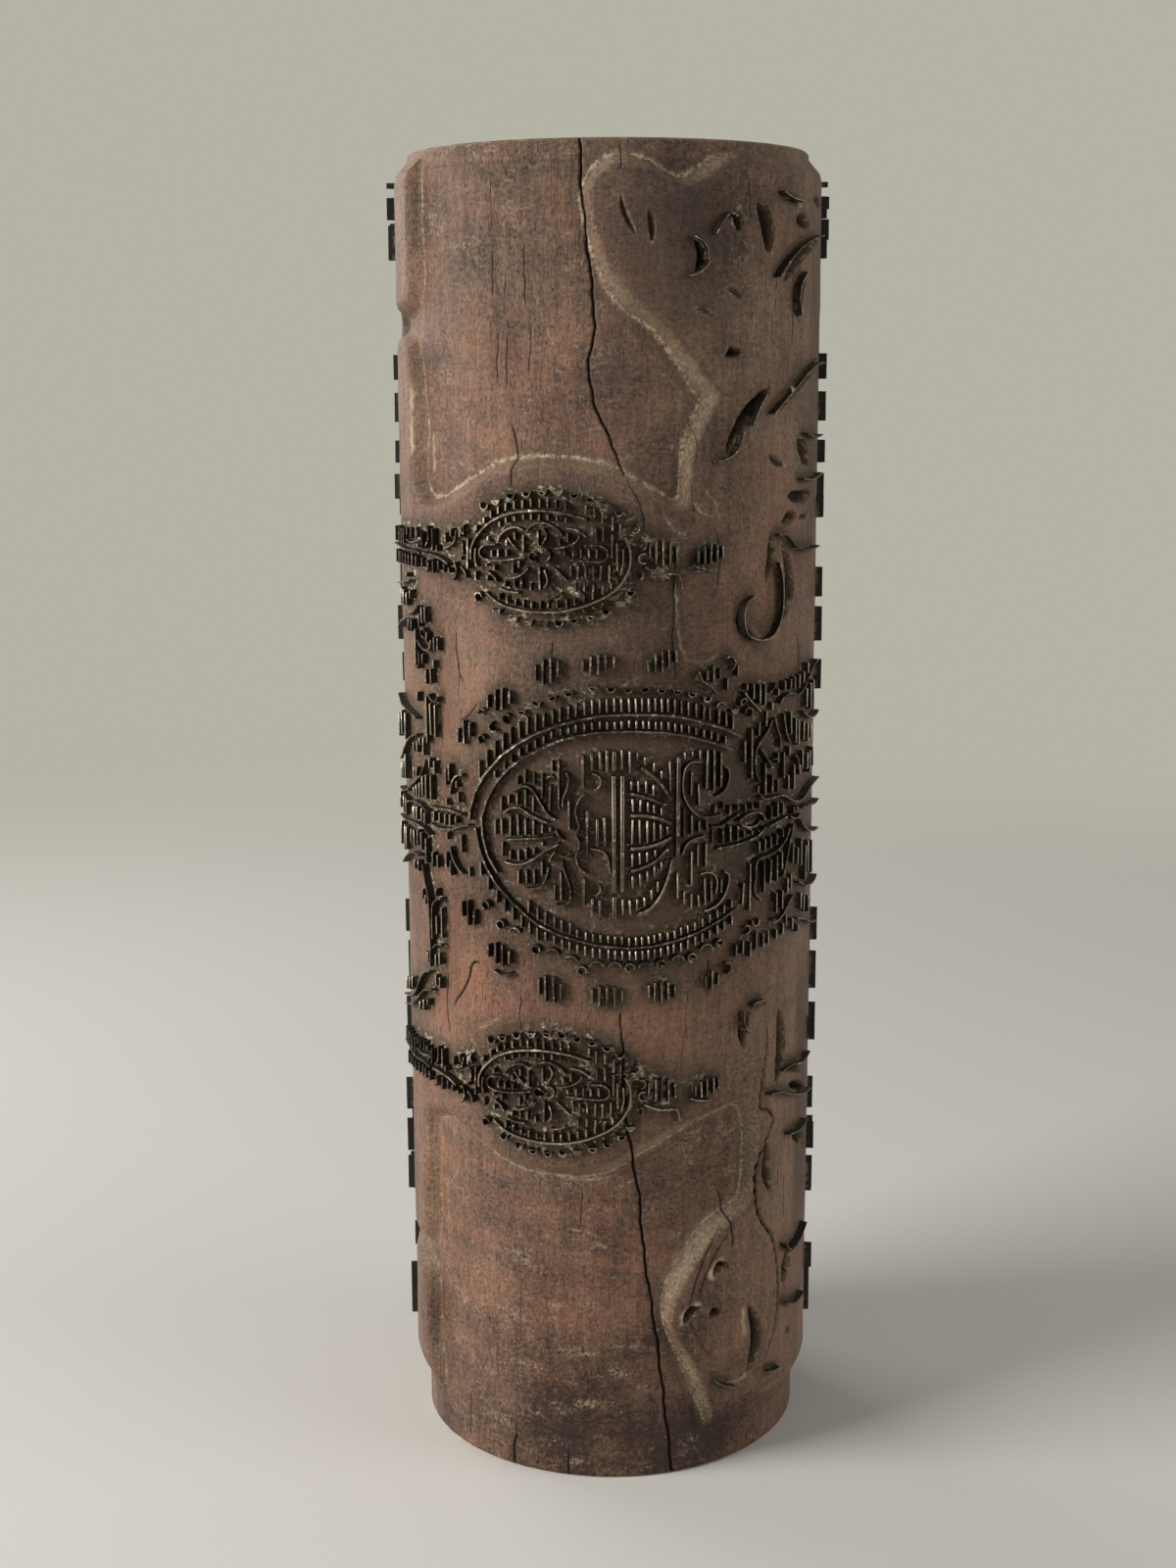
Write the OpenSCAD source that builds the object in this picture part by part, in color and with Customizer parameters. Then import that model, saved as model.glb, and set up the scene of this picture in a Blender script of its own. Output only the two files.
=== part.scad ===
// Antique textile printing roller: a bored wooden cylinder with a raised print face,
// sunken panels, gouged scrolls and thin metal strips driven edgewise into the wood.
// Millimetres. Stands on its foot end: z up, the seen side faces -Y.
// Positions on the print face are [angle in degrees from the front, height above the foot].

/* [Wood roller] */
// overall length of the roller
length = 508; // [500:1:530]
// radius of both end collars and of the sunken panels
collar_r = 76.5; // [74:0.25:78]
// radius of the raised wood face that carries the strips
ground_r = 81.75; // [80.5:0.25:83]
// radius of the through bore
bore_r = 31; // [20:0.5:40]
// height where the raised face starts above the foot
foot_h = 16; // [10:1:22]
// plain collar left above the upper shoulder
head_h = 2.5; // [1:0.5:6]
// height of the foot shoulder slope
foot_slope = 10; // [4:1:14]
// height of the upper shoulder slope
head_slope = 5.5; // [3:0.5:8]
// run of the sloped sides of the sunken panels
panel_run = 4.5; // [2:0.5:6]
// small chamfer at the rims and bore mouths
rim_edge = 1; // [0.5:0.25:2]

/* [Metal strips] */
// how far the strips stand proud of the raised face
strip_rise = 3; // [1.5:0.25:4]
// how deep the strips are driven into the wood
strip_bed = 3.25; // [2:0.25:4]
// thickness of the straight hatch blades
blade_t = 1; // [0.6:0.05:1.3]
// thickness of the bent outline ribbons
ribbon_t = 1; // [0.6:0.05:1.3]
// thickness of the heavy ribs and bars
rib_t = 1.4; // [1:0.1:1.6]
// clearance where a blade butts against a ribbon
butt_gap = 0.45; // [0.2:0.05:0.6]
// radius of the small bent beads
bead_r = 1.5; // [1:0.1:1.8]

/* [Surface damage] */
// width of the long drying crack
crack_w = 1.1; // [0.5:0.1:2]
// depth of the gouged hollows below the raised face
gouge_d = 4.5; // [2:0.25:6]

/* [Hidden] */
strip_r = ground_r + strip_rise;
root_r = ground_r - strip_bed;
arc_mm = strip_r * PI / 180;
repeat_turn = 180;
// drop from the upper small medallion to the lower one
twin_drop = 202;
// roller length, drop and height of the upper small medallion that the heights are written for
drawn = [508, 202, 361];
foot_top = foot_h + foot_slope;
head_low = drawn[0] - head_h - head_slope - 3;
// true in the small medallions and tails, which keep their shape when the drop changes
$paired = false;
flat_arc = 15;
wood = [0.42, 0.30, 0.25];
metal = [0.20, 0.18, 0.16];

// Geometry helpers

// a drawn height for this drop between the small medallions
function apart(z) = $paired || z >= drawn[2] ? z :
  (z > drawn[2] - drawn[1] ? drawn[2] - (drawn[2] - z) * twin_drop / drawn[1] : z + drawn[1] - twin_drop);

// a drawn height for this length: the foot stays, the head keeps to its end, the rest is spread
function along(z) = z < foot_top ? z : (z > head_low ? z + length - drawn[0] :
  foot_top + (z - foot_top) * (1 + (length - drawn[0]) / (head_low - foot_top)));

function up(z) = along(apart(z));

// point on a cylinder of radius r
function pt(p, r) = [r * sin(p[0]), -r * cos(p[0]), up(p[1])];

// point of a smooth curve through four neighbours
function cr(a, b, c, d,
    t) = 0.5 * (2 * b + (c - a) * t + (2 * a - 5 * b + 4 * c - d) * t * t + (3 * b - a - 3 * c
    + d) * t * t * t);

// smooth curve through a list of points, k steps for each span
function smooth(p, k = 2) = let (n = len(p)) concat(
  [for (i = [0 : n - 2]) for (j = [0 : k - 1]) cr(p[max(i - 1, 0)], p[i], p[i + 1], p[min(i + 2,
      n - 1)], j / k)],
  [p[n - 1]]);

// closed smooth loop
function loop(p, k = 2) = let (n = len(p))
  [for (i = [0 : n - 1]) for (j = [0 : k - 1]) cr(p[(i + n - 1) % n], p[i], p[(i + 1) % n],
      p[(i + 2) % n], j / k)];

// left-hand normal of a step between two face points, as [degrees, mm] for one mm
function nrm(a, b) = let (d = [(b[0] - a[0]) * arc_mm, b[1] - a[1]], l = max(norm(d),
    0.001)) [-d[1] / l / arc_mm, d[0] / l];

// an upright strip along a curve on the print face, made of short flat pieces that follow the round
module ribbon(p, w = ribbon_t, r0 = root_r, r1 = strip_r) {
  n = len(p);
  turn = [for (q = p) q[0]];
  side = [for (i = [0 : n - 1]) nrm(p[max(i - 1, 0)], p[min(i + 1, n - 1)])];
  pieces = max(1, ceil((max(turn) - min(turn)) / flat_arc));
  for (c = [0 : pieces - 1]) {
    a = round(c * (n - 1) / pieces);
    b = round((c + 1) * (n - 1) / pieces);
    reach = [for (i = [a : b]) turn[i]];
    mid = (max(reach) + min(reach)) / 2;
    half = (max(reach) - min(reach)) / 2;
    base = r0 * cos(half);
    lap = [for (i = [a : b]) (i == a && c > 0) ? 0.15 * (p[a] - p[a + 1]) :
      ((i == b && c < pieces - 1) ? 0.15 * (p[b] - p[b - 1]) : [0, 0])];
    left = [for (i = [a : b]) p[i] + lap[i - a] + side[i] * w / 2];
    right = [for (i = [a : b]) p[a + b - i] + lap[b - i] - side[a + b - i] * w / 2];
    rotate([0, 0, mid]) translate([0, -base, 0]) rotate([90, 0, 0])
      linear_extrude(height = r1 * (1 + cos(half)) / 2 - base)
        polygon([for (q = concat(left, right)) [strip_r * sin(q[0] - mid), up(q[1])]]);
  }
}

// a straight blade along the roller axis
module blade(a, z0, z1, w = blade_t) {
  rotate([0, 0, a]) translate([-w / 2, -strip_r, up(z0)]) cube([w, strip_r - root_r, up(z1) - up(z0)]);
}

// frame on the print face: x round the roller, y up, z outwards
module at(a, z) {
  rotate([0, 0, a]) translate([0, -root_r, up(z)]) rotate([90, 0, 0]) children();
}

// a short strip bent to an arc of radius r
module bent(a, z, r = bead_r, from = 180, sweep = 180) {
  at(a, z) rotate([0, 0, from]) rotate_extrude(angle = sweep, $fn = 48)
    translate([r - blade_t / 2, 0]) square([blade_t, strip_r - root_r]);
}

// a bead: a strip bent to an open cup, its mouth upwards
module bead(a, z, r = bead_r) {
  bent(a, z, r, 165, 210);
}

// a lappet: a small fan of parallel blades
module lappet(a, z, n, h, step = 1.9, tilt = 0) {
  for (i = [0 : n - 1]) let (u = n == 1 ? 0 : 2 * i / (n - 1) - 1, hh = h * (1 - 0.4 * u * u))
    blade(a + (i - (n - 1) / 2) * step, z + tilt * u - hh / 2, z + tilt * u + hh / 2);
}

// hatch columns of the medallion, closer together near the bowl
function col(k) = k >= 0 ? 10 + 1.55 * k + 0.0315 * k * k : 10 + 1.6 * k - 0.02 * k * k;

// hatch columns of the small ovals
function oval_col(k) = -17 + 2.2 * k;

// half clearance from a ribbon centre line to a blade end
clear = ribbon_t / 2 + butt_gap;

// vertical clearance beside a sloping ribbon given as a list of points
function slope_at(p, a) = abs(lookup(a + 0.6, p) - lookup(a - 0.6, p)) / (1.2 * arc_mm);
function lift(p, a) = clear * sqrt(1 + pow(slope_at(p, a), 2)) + slope_at(p, a) * blade_t / 2;

// pocket cutter: closed outline at the raised face, floor radius, run of the side walls
module pocket(p, floor_r, run) {
  n = len(p);
  k = run / (ground_r - floor_r);
  side = [for (i = [0 : n - 1]) nrm(p[(i + n - 1) % n], p[(i + 1) % n])];
  mid = [for (c = [0, 1]) (max([for (q = p) q[c]]) + min([for (q = p) q[c]])) / 2];
  v = concat(
    [for (i = [0 : n - 1]) pt(p[i] + side[i] * k * (ground_r - floor_r + 0.5), floor_r - 0.5)],
    [for (i = [0 : n - 1]) pt(p[i] - side[i] * k * 1.5, ground_r + 1.5)],
    [pt(mid, floor_r - 14), pt(mid, 400)]);
  polyhedron(v, concat(
    [for (i = [0 : n - 1]) let (j = (i + 1) % n) [i, j, 2 * n]],
    [for (i = [0 : n - 1]) let (j = (i + 1) % n) [n + i, 2 * n + 1, n + j]],
    [for (i = [0 : n - 1]) let (j = (i + 1) % n) [i, n + j, j]],
    [for (i = [0 : n - 1]) let (j = (i + 1) % n) [i, n + i, n + j]]));
}

// outline of a gouged crescent from a to b, widest in the middle, bowed sideways by bow
function crescent(a, b, w, bow, m = 4) = let (d = [(b[0] - a[0]) * arc_mm, b[1] - a[1]], l = norm(d),
  t = [d[0] / l / arc_mm, d[1] / l], s = [-d[1] / l / arc_mm, d[0] / l],
  spine = [for (i = [0 : m]) a + t * l * i / m + s * bow * sin(180 * i / m)],
  half = [for (i = [0 : m]) w / 2 * pow(sin(180 * i / m), 0.6)])
  concat([for (i = [0 : m]) spine[i] - s * half[i]],
      [for (i = [1 : m - 1]) spine[m - i] + s * half[m - i]]);

module turned_ring(r0, r1) {
  difference() {
    translate([0, 0, -30]) cylinder(r = r1, h = length + 60, $fn = 180);
    translate([0, 0, -31]) cylinder(r = r0, h = length + 62, $fn = 180);
  }
}

// Wood

upper_panel = loop([[-66, 560], [-64.5, 520], [-66.5, 500], [-66, 485], [-66.5, 465], [-68.5, 456],
    [-74, 452.2], [-84, 451.7], [-92, 451.6], [-95.2, 449.8], [-96.6, 445], [-95.2, 440.3], [-92, 438.5],
    [-84, 438.4], [-75, 437.9], [-68.5, 433.5], [-66.5, 424], [-66.5, 400], [-66, 387],
    [-60, 378], [-50, 378.5], [-40, 384.5], [-30, 391], [-20, 394], [-10, 393.5], [0, 389.5], [10, 383],
    [18, 378.5], [21.5, 382], [22, 392], [23, 401], [27, 411], [29.5, 419], [26, 425.5], [21, 434],
    [12, 448], [5, 457], [0, 468], [-3, 480], [-3.2, 491], [2, 497.5], [10, 496.5], [16, 492], [20, 491],
    [24, 493], [30, 498], [38, 506], [38, 530], [30, 560]], 1);

lower_panel = loop([[33, -30], [33, 0], [31, 20], [28, 34], [25, 45], [21.5, 54], [18.5, 61], [17.5, 68],
    [19, 76], [24, 87], [30, 97], [37, 103.5], [42, 107], [44.5, 117], [46, 131], [45.5, 141], [43, 150],
    [38, 153], [30, 151], [18, 146.5], [8, 140], [0, 133.5], [-10, 130.5], [-20, 130.5], [-32, 133.5],
    [-43, 139.5], [-51, 143], [-59, 141.5], [-64.5, 138], [-66.5, 126], [-66.5, 95], [-68.5, 85],
    [-74, 81.6], [-84, 81.1], [-92, 81], [-95.2, 79.2], [-96.6, 74.5], [-95.2, 69.8], [-92, 68],
    [-84, 67.9], [-75, 67.4], [-68.5, 64.5], [-66.5, 54], [-66, 30], [-64, 0], [-66, -30]], 1);

// gouged hollows: start, end, width, bow
upper_gouges = [
  [[3, 489], [7, 475], 2.5, -1], [[10, 484], [11, 472], 3, 0.5], [[33, 484], [35, 476], 4, 1],
      [[41, 488], [45.5, 469], 7, 2],
  [[22, 475], [22.5, 462], 4.5, 3], [[31, 457], [36.5, 452.5], 2.5, 0.5], [[31, 433],
      [36, 434], 4, 1], [[22, 449.5], [28, 447], 2, 0.5],
  [[31, 398], [47, 422], 4.5, 3], [[39, 346], [41, 330.5], 4, -5], [[47, 369], [45.5, 352], 4.5, 2],
      [[52, 366], [47, 331], 7, 10],
  [[52, 372], [60, 374], 4, 1], [[61, 373], [71, 373], 3, 0.5], [[55, 382], [70, 382], 5, -1],
      [[60, 403], [67, 392], 8, 1],
  [[49, 413], [78, 431], 4.5, 3], [[46, 398], [54, 393], 3.5, -1], [[60, 445], [64, 464], 8, 4],
      [[51, 459], [75, 476], 4, 3],
  [[57, 482], [66, 479], 5, 1], [[51, 490], [61, 486], 2.5, 0.5], [[69, 490], [80, 486], 4, 1]];

lower_gouges = [
  [[42, 188], [39.5, 172], 4.5, -3], [[41.4, 186.2], [48, 189], 4, 1.5], [[53.6, 184], [53, 153], 7, 3],
      [[57, 158], [70, 152], 4, 1],
  [[49.5, 131], [51, 109], 5, -2.5], [[29.5, 82], [35, 85], 4, 2.5], [[20.5, 64.5],
      [26, 70.5], 4, 2], [[28, 66], [32, 67], 4, 0.5],
  [[42, 66], [41.5, 36], 6.5, 5], [[58, 66], [66, 82], 7, 3], [[60, 44], [64, 43], 4, 0.5],
      [[63, 128], [74, 118], 7, 2],
  [[60, 150], [75, 140], 4, 1]];

main_crack = smooth([[-7.5, 530], [-7, 498], [-6, 480], [-4.5, 462], [-3.5, 445], [-5, 430],
    [-4, 418], [-2.5, 413], [-0.5, 408],
  [1.5, 400], [5, 390]]);

foot_crack = smooth([[3, 192], [3.5, 176], [4.5, 150], [6, 135], [8, 118], [9, 100], [10, 88],
    [12, 70], [13.5, 55], [15, 38],
  [16.5, 20], [19, -8]]);

edge_groove = smooth([[48.6, 178], [48.6, 168], [46.6, 155], [46.3, 146], [50.1, 143.5],
    [52.1, 138], [48.1, 130], [45.1, 121], [44.6, 108],
  [47.1, 99], [52.1, 90], [54.6, 80], [55.6, 65], [54.1, 50], [49.6, 40]]);

module gouge(g) {
  mid = (g[0] + g[1]) / 2;
  rotate([0, 0, mid[0]]) translate([0, gouge_d - ground_r, up(mid[1])]) rotate([90, 0, 0])
    linear_extrude(height = gouge_d + 4)
      polygon([for (p = crescent(g[0], g[1], g[2], g[3])) [(p[0] - mid[0]) * arc_mm, p[1] - mid[1]]]);
}

module face_cuts() {
  for (p = [upper_panel, lower_panel]) intersection() {
    pocket(p, collar_r, panel_run);
    turned_ring(collar_r, ground_r + 1.4);
  }
  for (g = concat(upper_gouges, lower_gouges)) if (g[2] >= 4) gouge(g);
  ribbon(edge_groove, 0.8, ground_r - 2.5, ground_r + 1);
}

module roller_body() {
  color(wood) difference() {
    rotate_extrude($fn = 180) polygon([
      [bore_r + rim_edge, 0], [collar_r - rim_edge, 0], [collar_r, rim_edge], [collar_r, foot_h],
      [ground_r - 0.8, foot_h + foot_slope - 1.5], [ground_r, foot_h + foot_slope + 1.5],
      [ground_r, length - head_h - head_slope - 3], [ground_r - 0.6, length - head_h - head_slope],
      [collar_r, length - head_h], [collar_r, length - rim_edge], [collar_r - rim_edge, length],
      [bore_r + rim_edge, length], [bore_r, length - rim_edge], [bore_r, rim_edge]]);
    face_cuts();
    rotate([0, 0, repeat_turn]) face_cuts();
    ribbon(main_crack, crack_w, collar_r - 9, ground_r + 1);
    ribbon(foot_crack, crack_w, collar_r - 9, ground_r + 1);
  }
}

// Small oval medallion

oval_top = smooth([[-36.5, 360.5], [-36.6, 364], [-35.5, 367.6], [-33.5, 371], [-30, 375],
    [-25, 377.9], [-20, 379], [-15, 379.1],
  [-10, 378.2], [-5, 376]]);
oval_low = smooth([[-32, 349], [-29, 346], [-25, 343.9], [-19, 342.8], [-13, 343], [-8, 344.3],
    [-4, 346.3], [0, 349.2], [3, 353],
  [5, 358], [5.5, 363], [5, 367], [4, 370]]);

module upper_oval_rim() {
  $paired = true;
  ribbon(oval_top, 1.2);
  ribbon(oval_low, 1.2);
  ribbon(smooth([[-34.9, 358], [-35.4, 361.5], [-35, 365]]));
  ribbon(smooth([[3, 356.6], [3.7, 361], [3.6, 366]]));
}

module upper_oval_flower() {
  $paired = true;
  ribbon(smooth([[-20.6, 362.6], [-25, 361.3], [-29, 360.7], [-32, 361], [-33.6, 362.4],
      [-33.6, 364.6], [-32, 366.2], [-29, 366.6]]));
  ribbon(smooth([[-28.4, 367.6], [-27.4, 370.2], [-25.4, 372.4], [-23, 373.1], [-21.2, 372]]));
  ribbon(smooth([[-20.4, 371.6], [-19, 373.9], [-16.5, 374.9], [-14.2, 374.2], [-12.2, 372.3],
      [-11.2, 370.4]]));
  ribbon(smooth([[-13.5, 365.4], [-10, 366.4], [-7.6, 368.4], [-6.9, 370.4]]));
  ribbon(smooth([[-10.2, 373.2], [-7.5, 372.6], [-5.2, 370.2]]));
  ribbon(smooth([[-4.8, 367], [-2, 366.9], [-0.3, 365.4], [-0.2, 362.7], [-1.6, 361.2], [-6, 361.3],
      [-11.5, 362]]));
  ribbon(smooth([[-20, 358.7], [-21.3, 356.6], [-23.3, 355.1], [-25.3, 354.7]]));
  ribbon(smooth([[-31.5, 357], [-29.5, 355.2], [-28.6, 353]]));
  ribbon(smooth([[-28, 350.9], [-25.5, 349.8], [-22.6, 349.6]]));
  ribbon(smooth([[-15.6, 348.4], [-13, 348.9], [-11.4, 350]]));
  ribbon([[-25.4, 369.6], [-24.2, 367.4], [-22.6, 365]]);
  ribbon(smooth([[-16, 373], [-15.2, 371.3], [-15.3, 369.4], [-16.2, 367.2]]));
  ribbon(smooth([[-15.9, 358.2], [-15.2, 355.4], [-15.3, 353], [-16.2, 351.6]]));
  ribbon([[-13.8, 359.2], [-12, 357.2], [-10.2, 354.4]]);
  bent(-18.7, 362.6, 1.7, 20, 300);
  bent(-15.8, 363.2, 2.1, -120, 250);
}

module upper_oval_hatch() {
  $paired = true;
  for (k = [-8 : 7]) let (a = oval_col(k)) if (k <= 3 || k >= 5) {
    z = lookup(a, oval_top);
    if (a < -6) blade(a, z + lift(oval_top, a), z + lift(oval_top, a) + 3.4 - 0.02 * abs(k * k));
    if (k > -6 && a < -6) blade(a, z - lift(oval_top, a) - (k > -4 ? 2.5 - 0.2 * abs(k) : 2),
        z - lift(oval_top, a));
  }
  for (k = [-5 : 8]) let (a = oval_col(k), z = lookup(a, oval_low)) {
    blade(a, z + lift(oval_low, a), z + lift(oval_low, a) + 3 + 0.4 * (k % 2));
    if (k > 4) blade(a, z - lift(oval_low, a) - 1.1, z - lift(oval_low, a));
  }
  for (q = [[-30.3, 362, 364.6], [-28.1, 362, 365], [-25.9, 362.4, 365], [-31.6, 367.4, 369.4],
      [-25.9, 366, 368.4],
    [-23.6, 368.4, 371.4], [-21.4, 363.8, 370.4], [-17.4, 366.6, 372.6], [-17.1, 350.8, 359.4],
        [-26.2, 351.4, 353.6],
    [-23.9, 351, 353.8], [-21.7, 351, 354.6], [-19.4, 350.4, 353.4], [-31.5, 353, 355.2],
        [-31.6, 358.2, 359.6],
    [-29.2, 357, 359.5], [-24.1, 356.4, 359.8], [-22.4, 358.4, 361], [-10.6, 362.9, 365.2],
        [-8.6, 362.4, 365.6],
    [-6.7, 362.4, 366], [-4.8, 362.4, 365.8], [-2.8, 362.3, 365.8], [-11.9, 367, 369.4],
        [-9.9, 368, 371.6],
    [-9.4, 355.8, 359.8], [-7.6, 354.8, 360], [-5.6, 355.4, 360.2], [-3.7, 354.6, 360],
        [-1.8, 354.4, 360], [0.2, 353.6, 360.4],
    [-8.2, 350, 353.4], [-5.9, 350.4, 354], [-3.7, 350.4, 353.4], [-1.4, 351, 353.2],
        [2.2, 357.6, 368], [0.9, 362.4, 371],
    [-3.2, 368.4, 373.4], [-1.2, 368.2, 374], [1, 372, 377.4], [-5.4, 377.6, 381.4],
        [-3.4, 375.8, 380.6], [-1.3, 375.2, 379.4],
    [2.8, 369.4, 375.4], [-37.6, 357, 368.5], [-35.2, 353, 356.6], [-35.2, 370.6, 373.4]])
    blade(q[0], q[1], q[2]);
}

module upper_oval_beads() {
  $paired = true;
  for (q = [[-28.8, 382.6], [-24.6, 384.6], [-20.4, 385.6], [-16.2, 386.4], [-12.2, 386.2],
      [-8.2, 385.2], [-4.4, 384],
    [-0.6, 381.8], [2.8, 379]]) bead(q[0], q[1]);
  for (q = [[-28.8, 343], [-24.2, 340.2], [-20.2, 339.4], [-16.2, 339], [-12.2, 339.4],
      [-8.4, 340.6], [-4.4, 341.8], [-0.6, 343.8],
    [3, 346.8], [5.4, 350.4]]) bead(q[0], q[1]);
  bent(-32.2, 380.6, 1.6, 150, 220);
  bent(-34.3, 347.2, 1.6, 0, 250);
  bent(6.5, 373, 1.6, -140, 220);
  bent(8.1, 367, 1.6, -90, 200);
  bent(8.6, 362.2, 1.7, 60, 240);
  bent(7.2, 356.4, 2, -60, 120);
  bent(3.6, 376.5, 1.6, 20, 150);
}

module upper_tail() {
  $paired = true;
  ribbon(smooth([[-80, 362.4], [-75, 362], [-70, 361.7], [-65, 361.4], [-61, 361.9], [-57, 361]]));
  ribbon(smooth([[-55.4, 361.4], [-51, 361.1], [-47.5, 360.2], [-44.6, 358.4]]), 1.3);
  ribbon(smooth([[-47, 363.4], [-44.4, 364.8], [-42.4, 367], [-41.9, 371]]));
  ribbon(smooth([[-42.6, 359.4], [-41.6, 357], [-42, 354.4], [-43.2, 352.6]]));
  ribbon(smooth([[-40.4, 358], [-38.8, 355.8], [-38.6, 353.6]]));
  ribbon(smooth([[-53.2, 371.6], [-52.7, 368], [-53.2, 365.4], [-54.4, 363.4]]));
  ribbon(smooth([[-54, 358.6], [-52.8, 357.6], [-53.4, 355.4], [-54.6, 354.6]]));
  ribbon(smooth([[-65.6, 365.6], [-63, 364.6], [-59, 365.5], [-56.9, 366]]));
  for (q = [[-77, 363.6, 369.6], [-74.6, 363.4, 370], [-72.2, 363.2, 369.6], [-69.8, 363.4, 369.4],
      [-67.5, 363.2, 369.4],
    [-65, 367, 370], [-62.6, 366.2, 370.4], [-60.4, 366.6, 370.8], [-58.2, 367.2, 369.8],
        [-55.8, 362.8, 369.4],
    [-50.6, 362.6, 371], [-49.2, 362.5, 365], [-45.4, 366.2, 370], [-43.4, 368.4, 371.6],
    [-40.2, 368.4, 372.6], [-39.2, 362, 366.8], [-76.6, 355.2, 360.6], [-74.2, 355, 360.6],
        [-71.6, 355.4, 360.2],
    [-69, 355.4, 360.2], [-66.6, 355.6, 360], [-64.4, 355.6, 360.2], [-61.8, 355.4, 360.6],
        [-59.4, 355.6, 360.2],
    [-57.2, 355.6, 359.6], [-50.8, 354.4, 359.8], [-48.4, 355.4, 359.2], [-46.2, 355.2, 358.4],
        [-44.2, 355, 357.2],
    [-39.9, 360, 361.6], [-58, 362.8, 364.2]])
    blade(q[0], q[1], q[2]);
  bent(-38.6, 371.4, 1.5, 90, 180);
  bent(-40, 366, 0.9, 0, 180);
}

// Main medallion

rim_top = smooth([[-38.3, 263], [-38, 267], [-36.3, 274], [-33, 281.3], [-28, 289], [-23, 294.3],
    [-18, 298.3], [-13, 301.4],
  [-8, 303.6], [-2, 305.3], [5, 305.7], [11, 305.5], [17, 304.5], [23, 302.2], [29.5, 299],
      [35.6, 294.9]], 1);
rim_low = smooth([[-36.4, 260.5], [-35.1, 252.7], [-33, 246], [-29.8, 239.5], [-25.6, 234],
    [-21, 228.7], [-18, 225.9], [-13, 222.8],
  [-8, 220.8], [-2, 219], [5, 218.1], [11, 218.4], [17, 220], [23, 222.3], [29.5, 226],
      [34.5, 229.4]], 1);
inner_rim = smooth([[-29.6, 244.2], [-32.5, 250.5], [-34, 257.8], [-34.3, 265], [-32.5, 271.7],
    [-29.8, 278.3], [-26.6, 283.5],
  [-23, 287.6], [-18, 291.9], [-13, 295.7], [-8, 297.8], [-3, 299.2], [5, 299.6], [14, 298.7],
      [20, 297], [26, 294.2], [33, 290.4]], 1);
inner_top = [for (p = inner_rim) if (p[1] > 266) p];

module medallion_rims() {
  ribbon(rim_top, 1.2);
  ribbon(rim_low, 1.2);
  ribbon(inner_rim, 1.2);
}

module band_hatch() {
  for (k = [-20 : 11]) let (a = col(k), z = lookup(a, inner_top), e = lift(inner_top, a))
    blade(a, z + e, z + e + min(3.2, lookup(a, rim_top) - lift(rim_top, a) - z - e - 0.2));
  for (k = [-16 : 12]) let (a = col(k), z = lookup(a, rim_low), e = lift(rim_low, a))
    blade(a, z + e, z + e + (k < -10 ? 5 : 3.4));
}

module fringe_hatch() {
  for (k = [-22 : 12]) let (a = col(k), z = lookup(a, rim_top), e = lift(rim_top, a))
    blade(a, z + e, z + e + (k < -14 ? 6.6 : 5.4));
  for (k = [-22 : 12]) let (a = col(k), z = lookup(a, rim_low), e = lift(rim_low, a))
    blade(a, z - e - (k < -14 ? 5.4 : 3.9), z - e);
}

module medallion_beads() {
  for (q = [[-22.2, 306.4], [-18.3, 309.4], [-14.1, 312], [-9.9, 313.8], [-4, 316.2], [0.6, 315.6],
      [4.8, 315.2], [9, 315.4],
    [13.2, 314.8], [17.3, 314.2], [21.3, 312.8], [25.4, 310.9], [33.6, 305.4]]) bead(q[0], q[1]);
  bent(-26.4, 303, 1.7, 30, 240);
  bent(-30.4, 299.4, 1.7, 100, 230);
  bent(-33.6, 304, 1.8, 40, 150);
  bent(-34, 294.4, 1.6, 0, 250);
  bent(29.4, 306.8, 1.8, 20, 160);
  bent(38, 303.6, 1.8, -60, 250);
  bent(36.4, 307.6, 1.4, 0, 240);
  for (q = [[-14.6, 214.6, 2.6], [-9.8, 212.4, 2.5], [-3.2, 210.4, 2.6], [1.4, 210.3, 2.5],
      [9, 210.3, 2.2], [17.6, 211.8, 2.4],
    [25.6, 215, 2.4], [-24.9, 221.7, 2.3]]) bent(q[0], q[1], q[2], 10, 160);
  for (q = [[-19, 216.4], [-6.9, 209.4], [5.2, 210.6], [13.2, 211.4], [21.6, 212.8], [29.4, 216.8],
      [-29, 224.6], [-33.4, 231.2]])
    bent(q[0], q[1], 1.6, -30, 300);
}

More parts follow.
